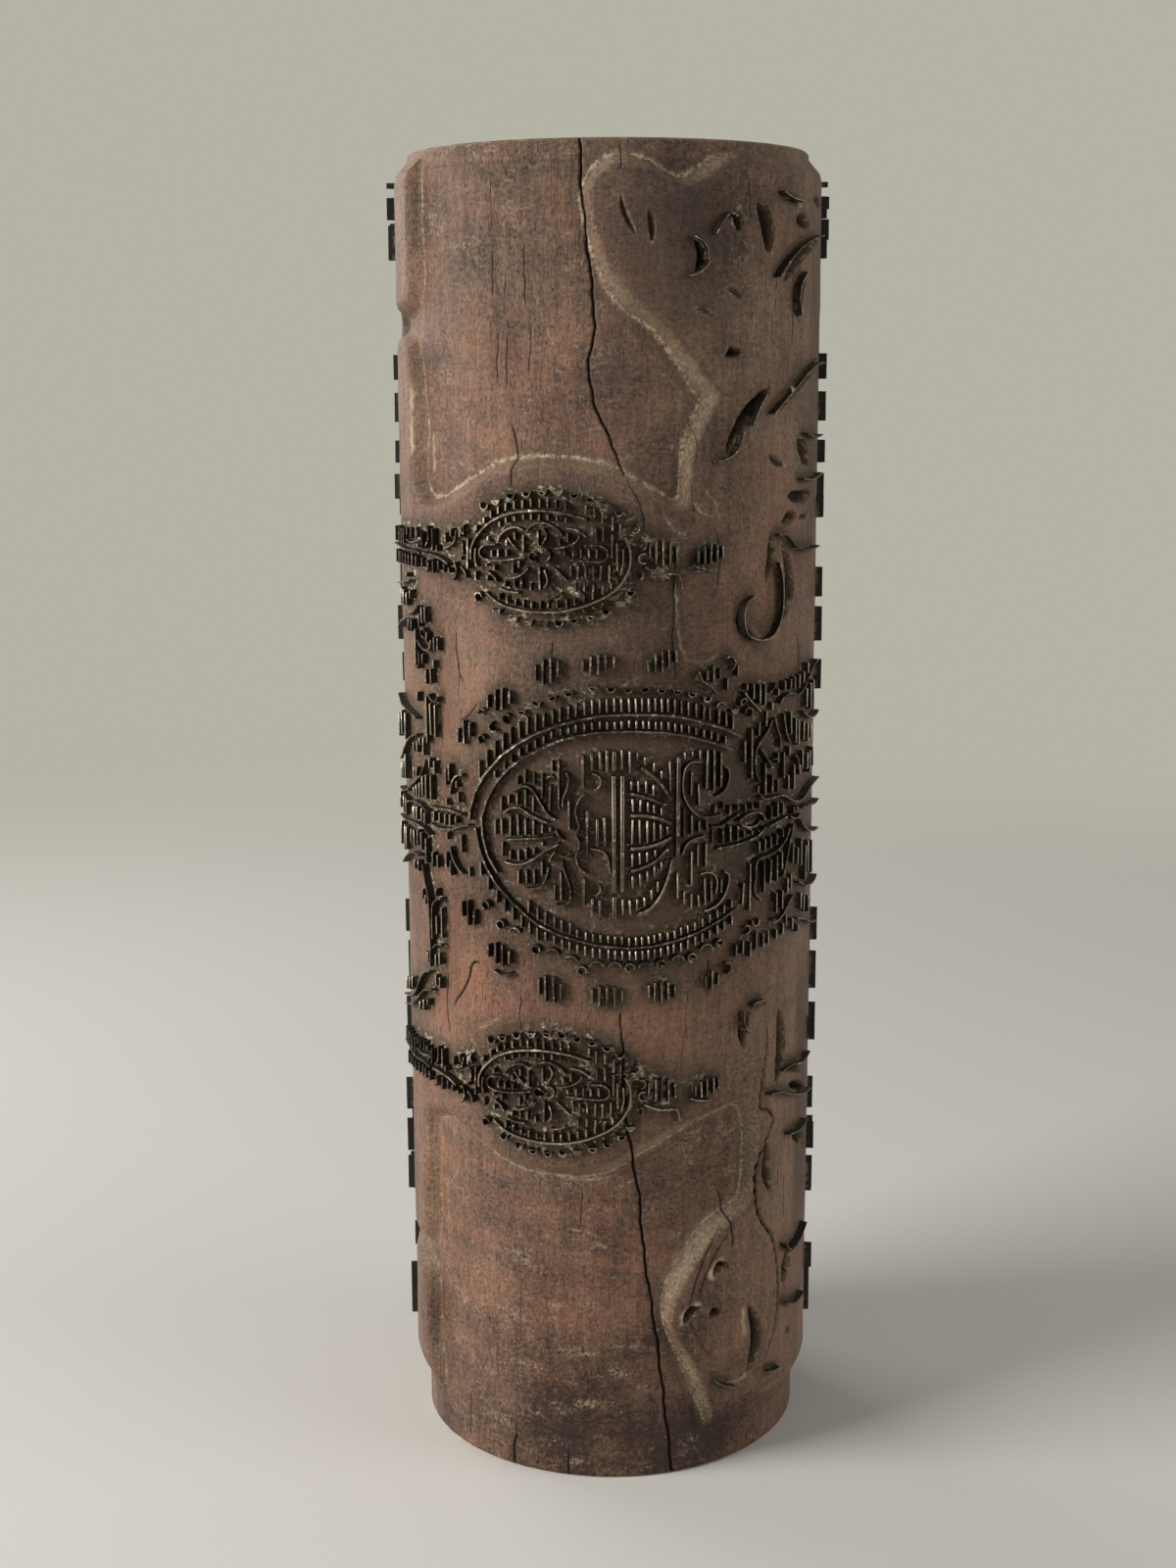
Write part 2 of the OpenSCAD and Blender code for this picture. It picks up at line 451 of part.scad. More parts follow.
module lappets() {
  lappet(-15.5, 321.5, 4, 10, 1.9, 1);
  lappet(-2.6, 324.4, 5, 7.6, 1.9, 0.8);
  lappet(13.4, 325, 5, 7.6, 1.75, 1.6);
  lappet(27.2, 319.2, 3, 6.4, 1.9);
  ribbon(smooth([[23, 320.6], [24, 317], [26.4, 314.6], [28.4, 311.6]]));
  bent(31.8, 322.6, 2.6, -70, 200);
  lappet(-28.8, 309.8, 4, 8.6, 2.1, 1);
  lappet(-40, 296, 3, 9.4, 2.1, 1.4);
  lappet(-46.6, 278.8, 2, 11, 2.1, 1.2);
  ribbon(smooth([[-45.4, 271.4], [-44.7, 275.4], [-43.2, 278.8], [-40.6, 280]]));
  lappet(-46.6, 244.2, 2, 10.4, 2.1, -1.2);
  ribbon(smooth([[-45.6, 251.4], [-44.6, 247], [-43, 243.8], [-40.8, 241.6]]));
  lappet(-39.4, 226.6, 3, 10, 2.1, -1.2);
  lappet(-29.6, 212.8, 4, 8.8, 2.1, -0.6);
  ribbon(smooth([[-31.4, 206.2], [-28.6, 205], [-26, 206.4]]));
  lappet(-15.4, 201.4, 4, 11, 1.9, -0.6);
  lappet(-0.6, 199.2, 5, 9.2, 1.9, -0.4);
  lappet(13.4, 200.6, 5, 8.2, 1.75, -0.4);
  lappet(27.4, 203, 3, 7.6, 1.9);
  bent(31.8, 206.8, 2, -90, 200);
  for (d = [0, -drawn[1]]) {
    lappet(13.6, 364 + d, 5, 9.6, 1.75, -0.8);
    ribbon(smooth([[9, 359.1 + d], [11, 357.6 + d], [14, 356.4 + d], [17.6, 356 + d],
        [18.4, 351 + d]]));
    lappet(26.2, 363 + d, 5, 7.4, 1.75, 0.6);
    ribbon(smooth([[21.4, 359.6 + d], [23.4, 358.4 + d], [27, 357.6 + d]]));
  }
}

// Inside the medallion

petal_a = smooth([[-25, 275.6], [-23, 277.6], [-21, 278.4], [-19, 276.4], [-17.2, 271.9],
    [-15.2, 267.9], [-13.4, 266.6]]);
petal_b = smooth([[-27.6, 267], [-26, 269.3], [-23, 270.1], [-20.6, 268.2], [-18, 266.4],
    [-15.6, 265.2]]);
petal_c = smooth([[-27.6, 257.6], [-23, 258.4], [-18, 259.2], [-14.2, 260.4]]);
petal_d = smooth([[-27.6, 249.2], [-25, 248.4], [-22, 249], [-19, 251.4], [-16.2, 254.6],
    [-12.6, 257.4]]);
petal_e = smooth([[-21.6, 239.5], [-18.2, 240.3], [-16.3, 243.2], [-15.3, 248.6]]);

module palmette_outline() {
  ribbon(petal_a);
  ribbon(petal_b);
  ribbon(petal_c);
  ribbon(petal_d);
  ribbon(petal_e);
  ribbon(smooth([[-15.2, 250.4], [-14.6, 252.4], [-13.6, 254.2]]));
  ribbon(smooth([[-11.9, 251], [-11.2, 246.8], [-9.8, 241], [-9.8, 236.6], [-11.2, 234.4],
      [-13.6, 234.2]]));
  ribbon(smooth([[-15.8, 281.8], [-14.4, 282.8], [-13.7, 282]]));
  ribbon(smooth([[-10.7, 284.4], [-10, 282.2], [-10.5, 278], [-11.5, 274.6], [-11.7, 271.4]]));
  ribbon(smooth([[-13.4, 262.6], [-12.6, 260.4], [-11.2, 258.8]]));
  ribbon(smooth([[-12.4, 252.7], [-10.8, 252.8], [-9.9, 254.4]]));
}

module palmette_hatch() {
  for (a = [-25.8, -23.6, -21.4, -19.2]) {
    blade(a, lookup(a, petal_c) + lift(petal_c, a), lookup(a, petal_b) - lift(petal_b,
        a) - (a == -19.2 ? 0 : 1.4));
    blade(a, lookup(a, petal_d) + lift(petal_d, a), lookup(a, petal_c) - lift(petal_c,
        a) - (a < -22 ? 3.4 : 2.6));
  }
  for (a = [-23.6, -21.4, -19.4]) blade(a, lookup(a, petal_b) + lift(petal_b, a), lookup(a,
      petal_a) - lift(petal_a, a));
  for (a = [-23.5, -21.4, -19.2, -16.9]) blade(a, lookup(a, petal_a) + lift(petal_a, a),
      a < -22 ? 282 : (a < -20 ? 284.4 : 283.4));
  for (q = [[-30.2, 258.6, 264.6], [-28.2, 259, 265.4], [-28.4, 268, 273.6], [-26, 270.8, 274.6],
      [-17.1, 260.8, 264.4],
    [-28.3, 250.6, 256.4], [-14.8, 261.8, 263.8], [-17, 255.8, 257.8], [-23.6, 240.8, 246.4],
        [-21.4, 241, 246.6],
    [-19.3, 241.2, 247], [-17.2, 244.8, 250.6], [-14, 235.4, 241.6], [-12.2, 235.8, 247],
        [-14.3, 284, 288.4],
    [-12.6, 270.4, 288.8], [-9.9, 262.6, 274], [-15, 269.6, 279.6]])
    blade(q[0], q[1], q[2]);
}

module urn_outline() {
  ribbon(smooth([[-5.9, 276.6], [-7.6, 273.8], [-8.4, 269.4], [-7.4, 264.4], [-8.2, 260.8], [-7.3, 257.6],
    [-8.3, 253.2], [-7.6, 248.9], [-5.4, 246.2]]));
  ribbon(smooth([[-4.3, 255.5], [-1.4, 254.7], [-0.2, 251.6], [0, 246.4]]));
  bent(-4, 281, 3, -80, 170);
  bent(-3.6, 240.6, 2.2, -100, 150);
  ribbon(smooth([[5.4, 276.4], [8.2, 275.5], [11.8, 273.4], [14.4, 271.6]]), rib_t);
  ribbon(smooth([[5.4, 268.3], [9.4, 268], [13, 266.6], [15.8, 264.6]]), rib_t);
  ribbon(smooth([[5.4, 255.7], [9.4, 256.2], [13, 257.6], [15.8, 259.4]]), rib_t);
  ribbon(smooth([[5.4, 247.2], [9.4, 249], [12.6, 251.8], [15, 255.4]]), rib_t);
  ribbon(smooth([[7.6, 231], [10.6, 233], [13.4, 238.2], [15.2, 245], [16.2, 251.4]]), rib_t);
  ribbon(smooth([[7.9, 285.9], [11.2, 282.3], [14, 277.6], [15.6, 273.2]]), rib_t);
}

module urn_bars() {
  blade(1.3, 239.6, 283.2, rib_t);
  blade(3.4, 239.6, 283.2, rib_t);
  blade(1.3, 285, 292.4, rib_t);
  blade(1.3, 228.6, 237.6, rib_t);
  blade(17.6, 251.6, 289.4, rib_t);
  blade(-5.4, 252.8, 270.2);
  blade(-2.8, 256.9, 267.2);
  blade(-0.9, 256.9, 267.8);
  blade(-6.4, 278.6, 290.6);
  blade(-4.3, 285.2, 291.8);
  blade(-2.3, 285.6, 292.4);
  blade(-0.4, 284.6, 293);
  blade(-6.3, 234.4, 244.6);
  blade(-4.2, 230.4, 237.2);
  blade(-2.2, 230, 236.6);
}

module bowl_hatch() {
  for (q = [[5.6, 277.8, 281.6], [7.4, 277, 281.4], [9.3, 276.2, 281.4], [11.2, 275.4, 279.8],
    [5.9, 269.6, 274.8], [7.8, 269.6, 274.4], [9.7, 269.4, 273.4], [11.4, 268.8, 272.4],
        [13.2, 268, 271.2],
    [5.9, 257.3, 267], [7.8, 257.4, 266.9], [9.7, 257.7, 266.6], [11.4, 258.3, 265.9],
        [13.1, 259.1, 265.1], [14.8, 260.6, 263.8],
    [5.9, 249, 254.4], [7.8, 249.7, 254.6], [9.7, 250.7, 254.9], [11.6, 252.4, 255.4],
    [5.9, 240.8, 245.8], [7.8, 241.4, 246.6], [9.7, 243, 247.4], [11.6, 244.6, 249], [13.2, 247.4, 251],
    [3.4, 230.6, 237], [5.3, 231, 236.8], [7.1, 232.6, 237], [8.9, 233.8, 237.6],
        [10.8, 236, 240.2], [12.4, 239, 243.4],
    [3.3, 285.4, 293], [5.2, 284, 292.6], [7, 288.2, 291.8], [9.2, 286.8, 290.2],
        [11.4, 284.4, 288], [13.4, 281.6, 284.8],
    [15.8, 276.6, 288]])
    blade(q[0], q[1], q[2]);
}

module scroll_outline() {
  ribbon(smooth([[24, 286.8], [21.6, 287.3], [19.6, 285.4], [18.9, 281], [19, 276], [20.2, 271.5],
      [22.2, 267.9], [24.6, 266.1],
    [27.6, 266], [30, 266.8]]));
  ribbon(smooth([[25.2, 258.9], [22.2, 258], [20.1, 256.2], [19, 252.4]]));
  ribbon(smooth([[23.7, 244.5], [25.8, 245], [28, 243.6], [28.7, 240], [28.2, 236.4]]));
  ribbon(smooth([[30.7, 244.5], [32.2, 243], [32, 239], [30.6, 234.6], [28.3, 231.6], [25.2, 230.2]]));
  ribbon(smooth([[30.4, 284.7], [31.9, 283], [31.9, 278.8], [30.6, 275.2], [28.3, 273.3]]));
}

module scroll_hatch() {
  for (q = [[21.3, 274.4, 283.6], [23.4, 270.6, 279], [25.4, 276.6, 291.4], [27.5, 275.4, 291],
      [29.6, 276.6, 290],
    [19.5, 258.6, 269.8], [21.4, 259.6, 267.4], [23.4, 260.4, 264.8], [25.5, 260.6, 264.6],
        [27.6, 255.4, 260.6],
    [21.3, 240.4, 253.6], [21.3, 231.4, 237.4], [23.3, 247.4, 256], [23.4, 232, 237],
        [25.3, 232.4, 243], [27.2, 233.4, 241.8],
    [30, 236.2, 242], [17.6, 235.8, 246], [19.4, 233.4, 238.6], [19.5, 288.4, 291.4],
        [21.5, 288.8, 291.2], [25.4, 247, 256.4],
    [23.4, 288, 291.6]])
    blade(q[0], q[1], q[2]);
}

module stem() {
  ribbon(smooth([[26.8, 262.4], [30, 262.2], [32.5, 264.2], [35.3, 265.6]]));
  ribbon(smooth([[35.2, 262.8], [37.7, 264.8], [41, 265.2], [43.4, 263.7], [44.3, 261.2]]));
  ribbon(smooth([[36.2, 260.9], [38.8, 259.6], [41.4, 259.9], [42.9, 261.4]]));
  ribbon(smooth([[28.4, 253.6], [35, 254.2], [40.4, 255.5], [43.4, 257.4], [44.4, 259.2]]));
  for (q = [[28, 267, 270.4], [30.4, 268.4, 271], [32.4, 266, 269.4], [34.7, 267, 269.4],
      [37.1, 266, 269], [39.6, 266.4, 269],
    [42.2, 266.2, 268.6], [30.2, 255.2, 260.8], [32.5, 255.4, 262], [34.7, 255.6, 261.4],
        [37.1, 256, 258.8], [39.6, 256.6, 258.4],
    [42, 257.6, 258.6]])
    blade(q[0], q[1], q[2]);
}

// Leaf cluster right of the medallion

module leaf_outline() {
  ribbon(smooth([[46.7, 299.6], [44.8, 295.2], [42.1, 292], [40.7, 288.6], [40.4, 284.6],
      [40.8, 280], [42.2, 276.6]]));
  ribbon(smooth([[48, 300], [48.8, 296], [50.2, 292.2], [50.6, 288]]));
  ribbon([[42.6, 289.2], [44.8, 285.4], [47.2, 280.6]]);
  ribbon(smooth([[42.4, 271.2], [44.4, 269.4], [49.6, 269.6], [52.9, 268.8], [55.2, 266.8],
      [58.3, 265.4], [61.8, 265], [65, 266.6],
    [69, 268.6], [74, 269.4], [80, 269]]));
  ribbon(smooth([[45.9, 258.6], [49.6, 259.6], [54, 260.6]]));
  ribbon(smooth([[55.4, 260.4], [56.8, 259], [58.8, 258.6], [61, 259.6]]));
  ribbon(smooth([[55.1, 256], [53.4, 252], [50.2, 249], [46.4, 247.6], [42.2, 247], [41, 244.8],
      [41, 240], [40.4, 236.8], [41, 233.4],
    [43.2, 230.6]]));
  ribbon(smooth([[57.5, 256.8], [55.6, 249.6], [54, 243.2], [52.2, 237]]));
  ribbon(smooth([[47.8, 222.2], [49.6, 220.8], [52.4, 222.4], [55.6, 226.8], [57.8, 228.4]]));
  ribbon(smooth([[49.9, 304.8], [51.3, 306.8], [54.5, 308], [58.3, 306.8], [61.5, 307.4],
      [65.3, 311.4], [69, 315], [75, 317]]));
  ribbon(smooth([[36.6, 311.4], [38.8, 307.8], [42.4, 303.4]]));
  ribbon(smooth([[45.4, 309.8], [46.8, 311], [47.8, 313.2]]));
  ribbon(smooth([[61.4, 257.4], [63.4, 254.4], [67.4, 251.4], [73, 249.6], [80, 248.6]]));
  ribbon(smooth([[51.8, 300.8], [52.6, 294], [54.6, 289.4]]));
  ribbon(smooth([[57.5, 283.6], [59.2, 281.4], [59.4, 277.4]]));
  ribbon(smooth([[62, 261.8], [67, 261.6], [73, 260.4], [80, 260.2]]));
  ribbon(smooth([[62, 299.6], [66, 296.6], [71, 295.4], [78, 296.4]]));
  ribbon(smooth([[61, 232.6], [66, 229.6], [72, 228.6], [79, 229.6]]));
  ribbon(smooth([[60, 218.4], [66, 216], [72, 212.6], [78, 211]]));
  ribbon(smooth([[46.9, 284.4], [49, 284.2]]));
  bent(41.2, 223, 1.8, 160, 220);
  bent(38, 220.4, 1.6, -120, 240);
}

module leaf_hatch() {
  for (q = [[37.6, 312, 314.6], [39.7, 308.2, 314.2], [41.9, 306, 313.8], [44.2, 305.2, 313.6],
      [47, 302.6, 306], [49.4, 308, 311],
    [52, 309.2, 313.2], [54.8, 309.6, 313.8], [57.4, 309, 314], [59.9, 308.6, 314.4],
        [62.3, 310.4, 315], [65.2, 313.6, 318],
    [37.1, 284.6, 293.4], [39.4, 278, 297.4], [42, 293.8, 299.4], [44.6, 297, 303],
        [42, 271.9, 275], [44.6, 271, 283.4], [47, 271, 278.4],
    [49.5, 271, 276], [49.7, 282, 286.4], [52.3, 275.6, 286], [55, 270.6, 276.4],
        [55, 283.6, 287.6], [57.6, 270, 280], [60.7, 275, 279.4],
    [62.6, 277, 284.4], [65.4, 276, 282.6], [68, 274, 283], [70.6, 276, 284], [47, 261, 266.4],
        [49.5, 261.2, 267.4], [52, 262, 266.6],
    [57.4, 260.4, 263.6], [59.6, 261.2, 263.6], [44.6, 249.4, 254.4], [47, 249.6, 254.6],
        [49.5, 250.6, 255.2], [52.2, 253, 256.4],
    [39.3, 227.4, 246], [36.9, 230.4, 239], [42.2, 249, 253.6], [44.6, 233, 245.6],
        [47, 236, 245.8], [49.6, 224, 232], [52.2, 224.6, 232.4],
    [49.6, 236, 246.4], [51.8, 240.4, 247.6], [57.4, 241.4, 249.4], [59.8, 240, 247],
        [62.8, 238.6, 249.6], [65.6, 232, 246], [68.4, 234, 247],
    [71, 233, 246.4], [55, 230, 236], [57.6, 231, 237.4], [62.8, 221.4, 228], [65.6, 219.6, 226],
        [68.6, 218, 225], [55.2, 216.6, 221.4],
    [57.8, 214.4, 219.4], [39.6, 209.4, 215.4], [42, 211.2, 219], [44.4, 211.6, 217.4],
        [46.8, 212.4, 217.8], [52.4, 214.2, 219],
    [49.8, 213.4, 217.6], [60.6, 212.6, 216.2], [37, 211, 216.4], [34.8, 210.4, 215.6],
        [57.8, 288, 298], [60.2, 286.6, 297],
    [63, 288, 295.6], [65.6, 286.8, 294.4], [68.4, 287.6, 293.6], [55.2, 292, 301],
        [65, 300.4, 308], [67.8, 299, 309.6],
    [70.8, 298.4, 310.4], [34.5, 317.6, 322], [31.4, 312.6, 317.4]])
    blade(q[0], q[1], q[2]);
}

// Festoon left of the medallion

module column_outline() {
  ribbon(smooth([[-80, 265.6], [-75, 265.6], [-69, 267.6], [-63.3, 272], [-59.6, 275.2],
      [-57.4, 279], [-56, 282.4]]));
  ribbon(smooth([[-69, 262.8], [-63.3, 264.4], [-58.8, 264], [-55.8, 262.4]]));
  ribbon(smooth([[-80, 254.4], [-71.5, 254.6], [-63.3, 255.8], [-58, 255.2], [-55, 253.4]]));
  ribbon(smooth([[-78, 277.6], [-74, 280.4], [-70.3, 284.9], [-66.2, 288.8], [-61, 291.2]]));
  ribbon(smooth([[-54.2, 264.6], [-49.8, 264.8], [-45.7, 265.2], [-41, 264.4]]));
  ribbon(smooth([[-54, 258], [-49.5, 257.3], [-44.5, 258.2], [-41, 260.2], [-38.4, 261]]));
  ribbon(smooth([[-59.2, 240.7], [-58, 234.6], [-56.2, 228.5], [-55.6, 219], [-55.4, 208],
      [-55.8, 200.6]]));
  ribbon(smooth([[-54.2, 212.2], [-54.2, 223.3], [-53, 227.7], [-49.8, 229.8]]));
  ribbon(smooth([[-54.2, 208.4], [-53, 210.2], [-49.8, 211.2]]));
  ribbon(smooth([[-56, 198.4], [-59.2, 197.2], [-63.3, 190.6], [-66.2, 186], [-72, 182.6],
      [-79, 180.4]]));
  ribbon(smooth([[-55, 191.4], [-59.8, 189.6], [-64.4, 184.4], [-70, 179.8], [-78, 176.6]]));
  ribbon(smooth([[-59.4, 328], [-57.5, 325.7], [-55, 324.7], [-52.8, 326], [-52.3, 329.2]]));
  ribbon(smooth([[-60.2, 317], [-58.8, 319.6], [-58.9, 324.2]]));
  ribbon(smooth([[-66.4, 336.6], [-61.6, 338.4], [-59.2, 341]]));
  ribbon(smooth([[-76, 347.4], [-70, 348.4], [-64, 350]]));
  ribbon(smooth([[-77, 330], [-72, 333.4], [-67.6, 334.6]]));
  ribbon(smooth([[-77, 236], [-71, 240.6], [-66, 243.4], [-61, 243.6]]));
  ribbon(smooth([[-78, 303.6], [-73, 300.4], [-67, 299.4], [-61, 297.4]]));
  bent(-56.4, 331.2, 1.6, 0, 300);
  bent(-51.8, 309, 3.2, 190, 150);
}

module column_hatch() {
  for (q = [[-55.3, 289, 307.4], [-51.4, 292, 304.8], [-53.4, 292.6, 305], [-62, 274.4, 278.4],
      [-64.4, 273.8, 277.8],
    [-64.2, 265.8, 270], [-62, 266.4, 271.2], [-60.2, 266.8, 272.8], [-58, 267.4, 275.6],
        [-56, 267, 276.8], [-54, 267, 277],
    [-66.8, 256.8, 261.6], [-64.4, 257.2, 262.6], [-62, 257.2, 262.8], [-59.8, 257.2, 262.6],
        [-57.6, 256.8, 261.8],
    [-52.6, 259.2, 263.4], [-50.3, 258.8, 263.4], [-48, 258.8, 263.6], [-45.6, 259.2, 263.8],
        [-43.3, 260.4, 263.6],
    [-54.2, 279.4, 283.6], [-52, 277.6, 283], [-53.6, 241, 247.2], [-51.4, 241.6, 246.8],
        [-57.2, 241.4, 251.6], [-59.6, 246, 253.4],
    [-62, 247, 253.6], [-64.6, 246, 252.6], [-67.2, 246.6, 252.4], [-62.2, 236.6, 241.4],
        [-64.2, 236.6, 240.8], [-59.4, 226.4, 230.8],
    [-57.8, 225, 229], [-52.2, 214.4, 222], [-50.2, 213.6, 226], [-52.2, 229.6, 233],
        [-57, 201.6, 206.4], [-59, 201, 205.8],
    [-53.4, 193.6, 198.4], [-51.2, 193.2, 198], [-53.2, 201.6, 206.4], [-51, 202.8, 208],
        [-57.6, 184, 187], [-60.2, 181.2, 186],
    [-62.6, 180.4, 184.2], [-61, 317.6, 332], [-57, 319, 323.2], [-55, 311.4, 317.4],
        [-52.8, 312.4, 318.4], [-51.4, 318, 321.4],
    [-49.6, 325.2, 330.2], [-51, 325, 330.4], [-54.4, 327.8, 332], [-58.8, 333, 338],
        [-57, 334.4, 340.6], [-55, 335, 341.2],
    [-63.2, 330.4, 335.6], [-65.6, 330, 335], [-64, 343, 346.6], [-66.6, 339.8, 345.2],
        [-69.2, 339.4, 346], [-71.8, 339.4, 346.6],
    [-66, 351, 353], [-59.4, 287.2, 290.2], [-61.4, 284, 288.6], [-63.8, 283.6, 287.6],
        [-57.4, 283.6, 291], [-60.2, 304, 308],
    [-71, 286.8, 297.6], [-74, 288, 298], [-71.4, 271, 281], [-74.4, 270.4, 277.6],
        [-77, 270, 276.6], [-71.4, 256.6, 263.8],
    [-74, 256.6, 263.6], [-76.6, 256.6, 263.4], [-71.4, 243, 252], [-74, 241.6, 252],
        [-72, 184.6, 190], [-69.4, 186.6, 191.6],
    [-75, 184, 189.4], [-46.8, 266.6, 269.6], [-42.2, 268.6, 273], [-43, 274.4, 277.2],
        [-46.8, 253.4, 256.6], [-41.6, 249.4, 256.6],
    [-39, 240.6, 244.6], [-79.6, 257, 264], [-79.6, 242, 252], [-79, 286, 296]])
    blade(q[0], q[1], q[2]);
}

// Loose scroll strips

module upper_sprig() {
  ribbon(smooth([[21, 474.6], [23.6, 472.6], [24.8, 469.4], [24.6, 466.4]]), 0.9);
  ribbon(smooth([[25.6, 466], [23.2, 462.4], [19.8, 460.8]]), 0.9);
  ribbon(smooth([[27, 475], [28.8, 479.4], [31, 482.6], [33, 481.4]]), 0.9);
  ribbon(smooth([[27.8, 396], [32, 397.8], [34.6, 401.6], [35.6, 406.6]]), 0.9);
  ribbon(smooth([[38.6, 408.4], [40.4, 414], [43.4, 419.6]]), 0.9);
  ribbon(smooth([[40, 346.4], [37.2, 344.4], [36.2, 339], [37.4, 333], [40.6, 330.4], [45, 330.2],
      [48.6, 333.6], [50.6, 340.4], [50.6, 350],
    [49, 358]]), 0.9);
  ribbon(smooth([[48.4, 368.2], [52, 367.8], [56, 363.8], [60, 361.8], [66, 361], [74, 361.4]]), 0.9);
  ribbon(smooth([[46, 412.4], [50.4, 417], [56, 422], [62, 426.8], [70, 429.8], [78, 430.4]]), 0.9);
  ribbon(smooth([[58, 447.6], [56.4, 453.6], [57.6, 459.4], [61, 463]]), 0.9);
  ribbon(smooth([[47.6, 461], [51, 466], [57, 471.4], [65, 475.4], [74, 477]]), 0.9);
  ribbon(smooth([[48.6, 490.8], [53, 488.6], [58.4, 488]]), 0.9);
  ribbon(smooth([[62, 404.6], [68, 402.8], [76, 403.4]]), 0.9);
  ribbon(smooth([[60, 388], [67, 387.2], [76, 389]]), 0.9);
  for (q = [[86, 470.6, 474.6], [86.4, 476, 484], [87, 487.6, 492.6], [90.5, 469.4, 482.8],
      [91.6, 484.4, 493], [91.6, 496, 498.4],
    [85, 424, 434], [88, 408, 419.6], [86, 392, 401], [89, 378, 388], [82, 371, 379.6],
        [84, 340, 352], [87, 322, 336], [82, 304, 316]])
    blade(q[0], q[1], q[2]);
}

module lower_sprig() {
  ribbon(smooth([[38, 188], [37.6, 184.4], [38.6, 181], [40.4, 178.8]]), 0.9);
  ribbon(smooth([[40.4, 189.6], [42.6, 191], [45.2, 190.6]]), 0.9);
  ribbon(smooth([[48, 151.4], [52, 151], [58, 147.6], [66, 144], [74, 142.6]]), 0.9);
  ribbon(smooth([[53.6, 158.8], [59, 159.4], [65, 157.6], [73, 158.6]]), 0.9);
  ribbon(smooth([[48.4, 35.4], [51, 34.4], [54, 34.2]]), 0.9);
  ribbon(smooth([[29.4, 39.6], [32, 36.8], [36, 34.6]]), 0.9);
  ribbon(smooth([[58, 131], [64, 130], [71, 131]]), 0.9);
  ribbon(smooth([[56.4, 85], [60, 80.8], [66, 82.6], [72, 86]]), 0.9);
  ribbon(smooth([[57, 60], [63, 56.4], [70, 57]]), 0.9);
  for (q = [[91, 35, 58], [90, 90.4, 105], [91, 107.6, 122], [90.6, 125.4, 139.6], [84, 180, 196],
      [87, 160, 173], [85, 200, 214],
    [82, 60, 71], [85, 92, 104], [82.6, 112, 124], [80, 160, 170]])
    blade(q[0], q[1], q[2]);
}

// Nodes

module lowered() { translate([0, 0, up(drawn[2] - drawn[1]) - up(drawn[2])]) children(); }
module turned_round() { rotate([0, 0, repeat_turn]) children(); }

module front_upper_oval_rim() { color(metal) upper_oval_rim(); }
module front_upper_oval_flower() { color(metal) upper_oval_flower(); }
module front_upper_oval_hatch() { color(metal) upper_oval_hatch(); }
module front_upper_oval_beads() { color(metal) upper_oval_beads(); }
module front_upper_tail() { color(metal) upper_tail(); }
module front_lower_oval_rim() { color(metal) lowered() upper_oval_rim(); }
module front_lower_oval_flower() { color(metal) lowered() upper_oval_flower(); }
module front_lower_oval_hatch() { color(metal) lowered() upper_oval_hatch(); }
module front_lower_oval_beads() { color(metal) lowered() upper_oval_beads(); }
module front_lower_tail() { color(metal) lowered() upper_tail(); }
module front_medallion_rims() { color(metal) medallion_rims(); }
module front_band_hatch() { color(metal) band_hatch(); }
module front_fringe_hatch() { color(metal) fringe_hatch(); }
module front_medallion_beads() { color(metal) medallion_beads(); }
module front_lappets() { color(metal) lappets(); }
module front_palmette_outline() { color(metal) palmette_outline(); }
module front_palmette_hatch() { color(metal) palmette_hatch(); }
module front_urn_outline() { color(metal) urn_outline(); }
module front_urn_bars() { color(metal) urn_bars(); }
module front_bowl_hatch() { color(metal) bowl_hatch(); }
module front_scroll_outline() { color(metal) scroll_outline(); }
module front_scroll_hatch() { color(metal) scroll_hatch(); }
module front_stem() { color(metal) stem(); }
module front_leaf_outline() { color(metal) leaf_outline(); }
module front_leaf_hatch() { color(metal) leaf_hatch(); }
module front_column_outline() { color(metal) column_outline(); }
module front_column_hatch() { color(metal) column_hatch(); }
module front_upper_sprig() { color(metal) upper_sprig(); }
module front_lower_sprig() { color(metal) lower_sprig(); }

module back_upper_oval_rim() { color(metal) turned_round() upper_oval_rim(); }
module back_upper_oval_flower() { color(metal) turned_round() upper_oval_flower(); }
module back_upper_oval_hatch() { color(metal) turned_round() upper_oval_hatch(); }
module back_upper_oval_beads() { color(metal) turned_round() upper_oval_beads(); }
module back_upper_tail() { color(metal) turned_round() upper_tail(); }
module back_lower_oval_rim() { color(metal) turned_round() lowered() upper_oval_rim(); }
module back_lower_oval_flower() { color(metal) turned_round() lowered() upper_oval_flower(); }
module back_lower_oval_hatch() { color(metal) turned_round() lowered() upper_oval_hatch(); }
module back_lower_oval_beads() { color(metal) turned_round() lowered() upper_oval_beads(); }
module back_lower_tail() { color(metal) turned_round() lowered() upper_tail(); }
module back_medallion_rims() { color(metal) turned_round() medallion_rims(); }
module back_band_hatch() { color(metal) turned_round() band_hatch(); }
module back_fringe_hatch() { color(metal) turned_round() fringe_hatch(); }
module back_medallion_beads() { color(metal) turned_round() medallion_beads(); }
module back_lappets() { color(metal) turned_round() lappets(); }
module back_palmette_outline() { color(metal) turned_round() palmette_outline(); }
module back_palmette_hatch() { color(metal) turned_round() palmette_hatch(); }
module back_urn_outline() { color(metal) turned_round() urn_outline(); }
module back_urn_bars() { color(metal) turned_round() urn_bars(); }
module back_bowl_hatch() { color(metal) turned_round() bowl_hatch(); }
module back_scroll_outline() { color(metal) turned_round() scroll_outline(); }
module back_scroll_hatch() { color(metal) turned_round() scroll_hatch(); }
module back_stem() { color(metal) turned_round() stem(); }
module back_leaf_outline() { color(metal) turned_round() leaf_outline(); }
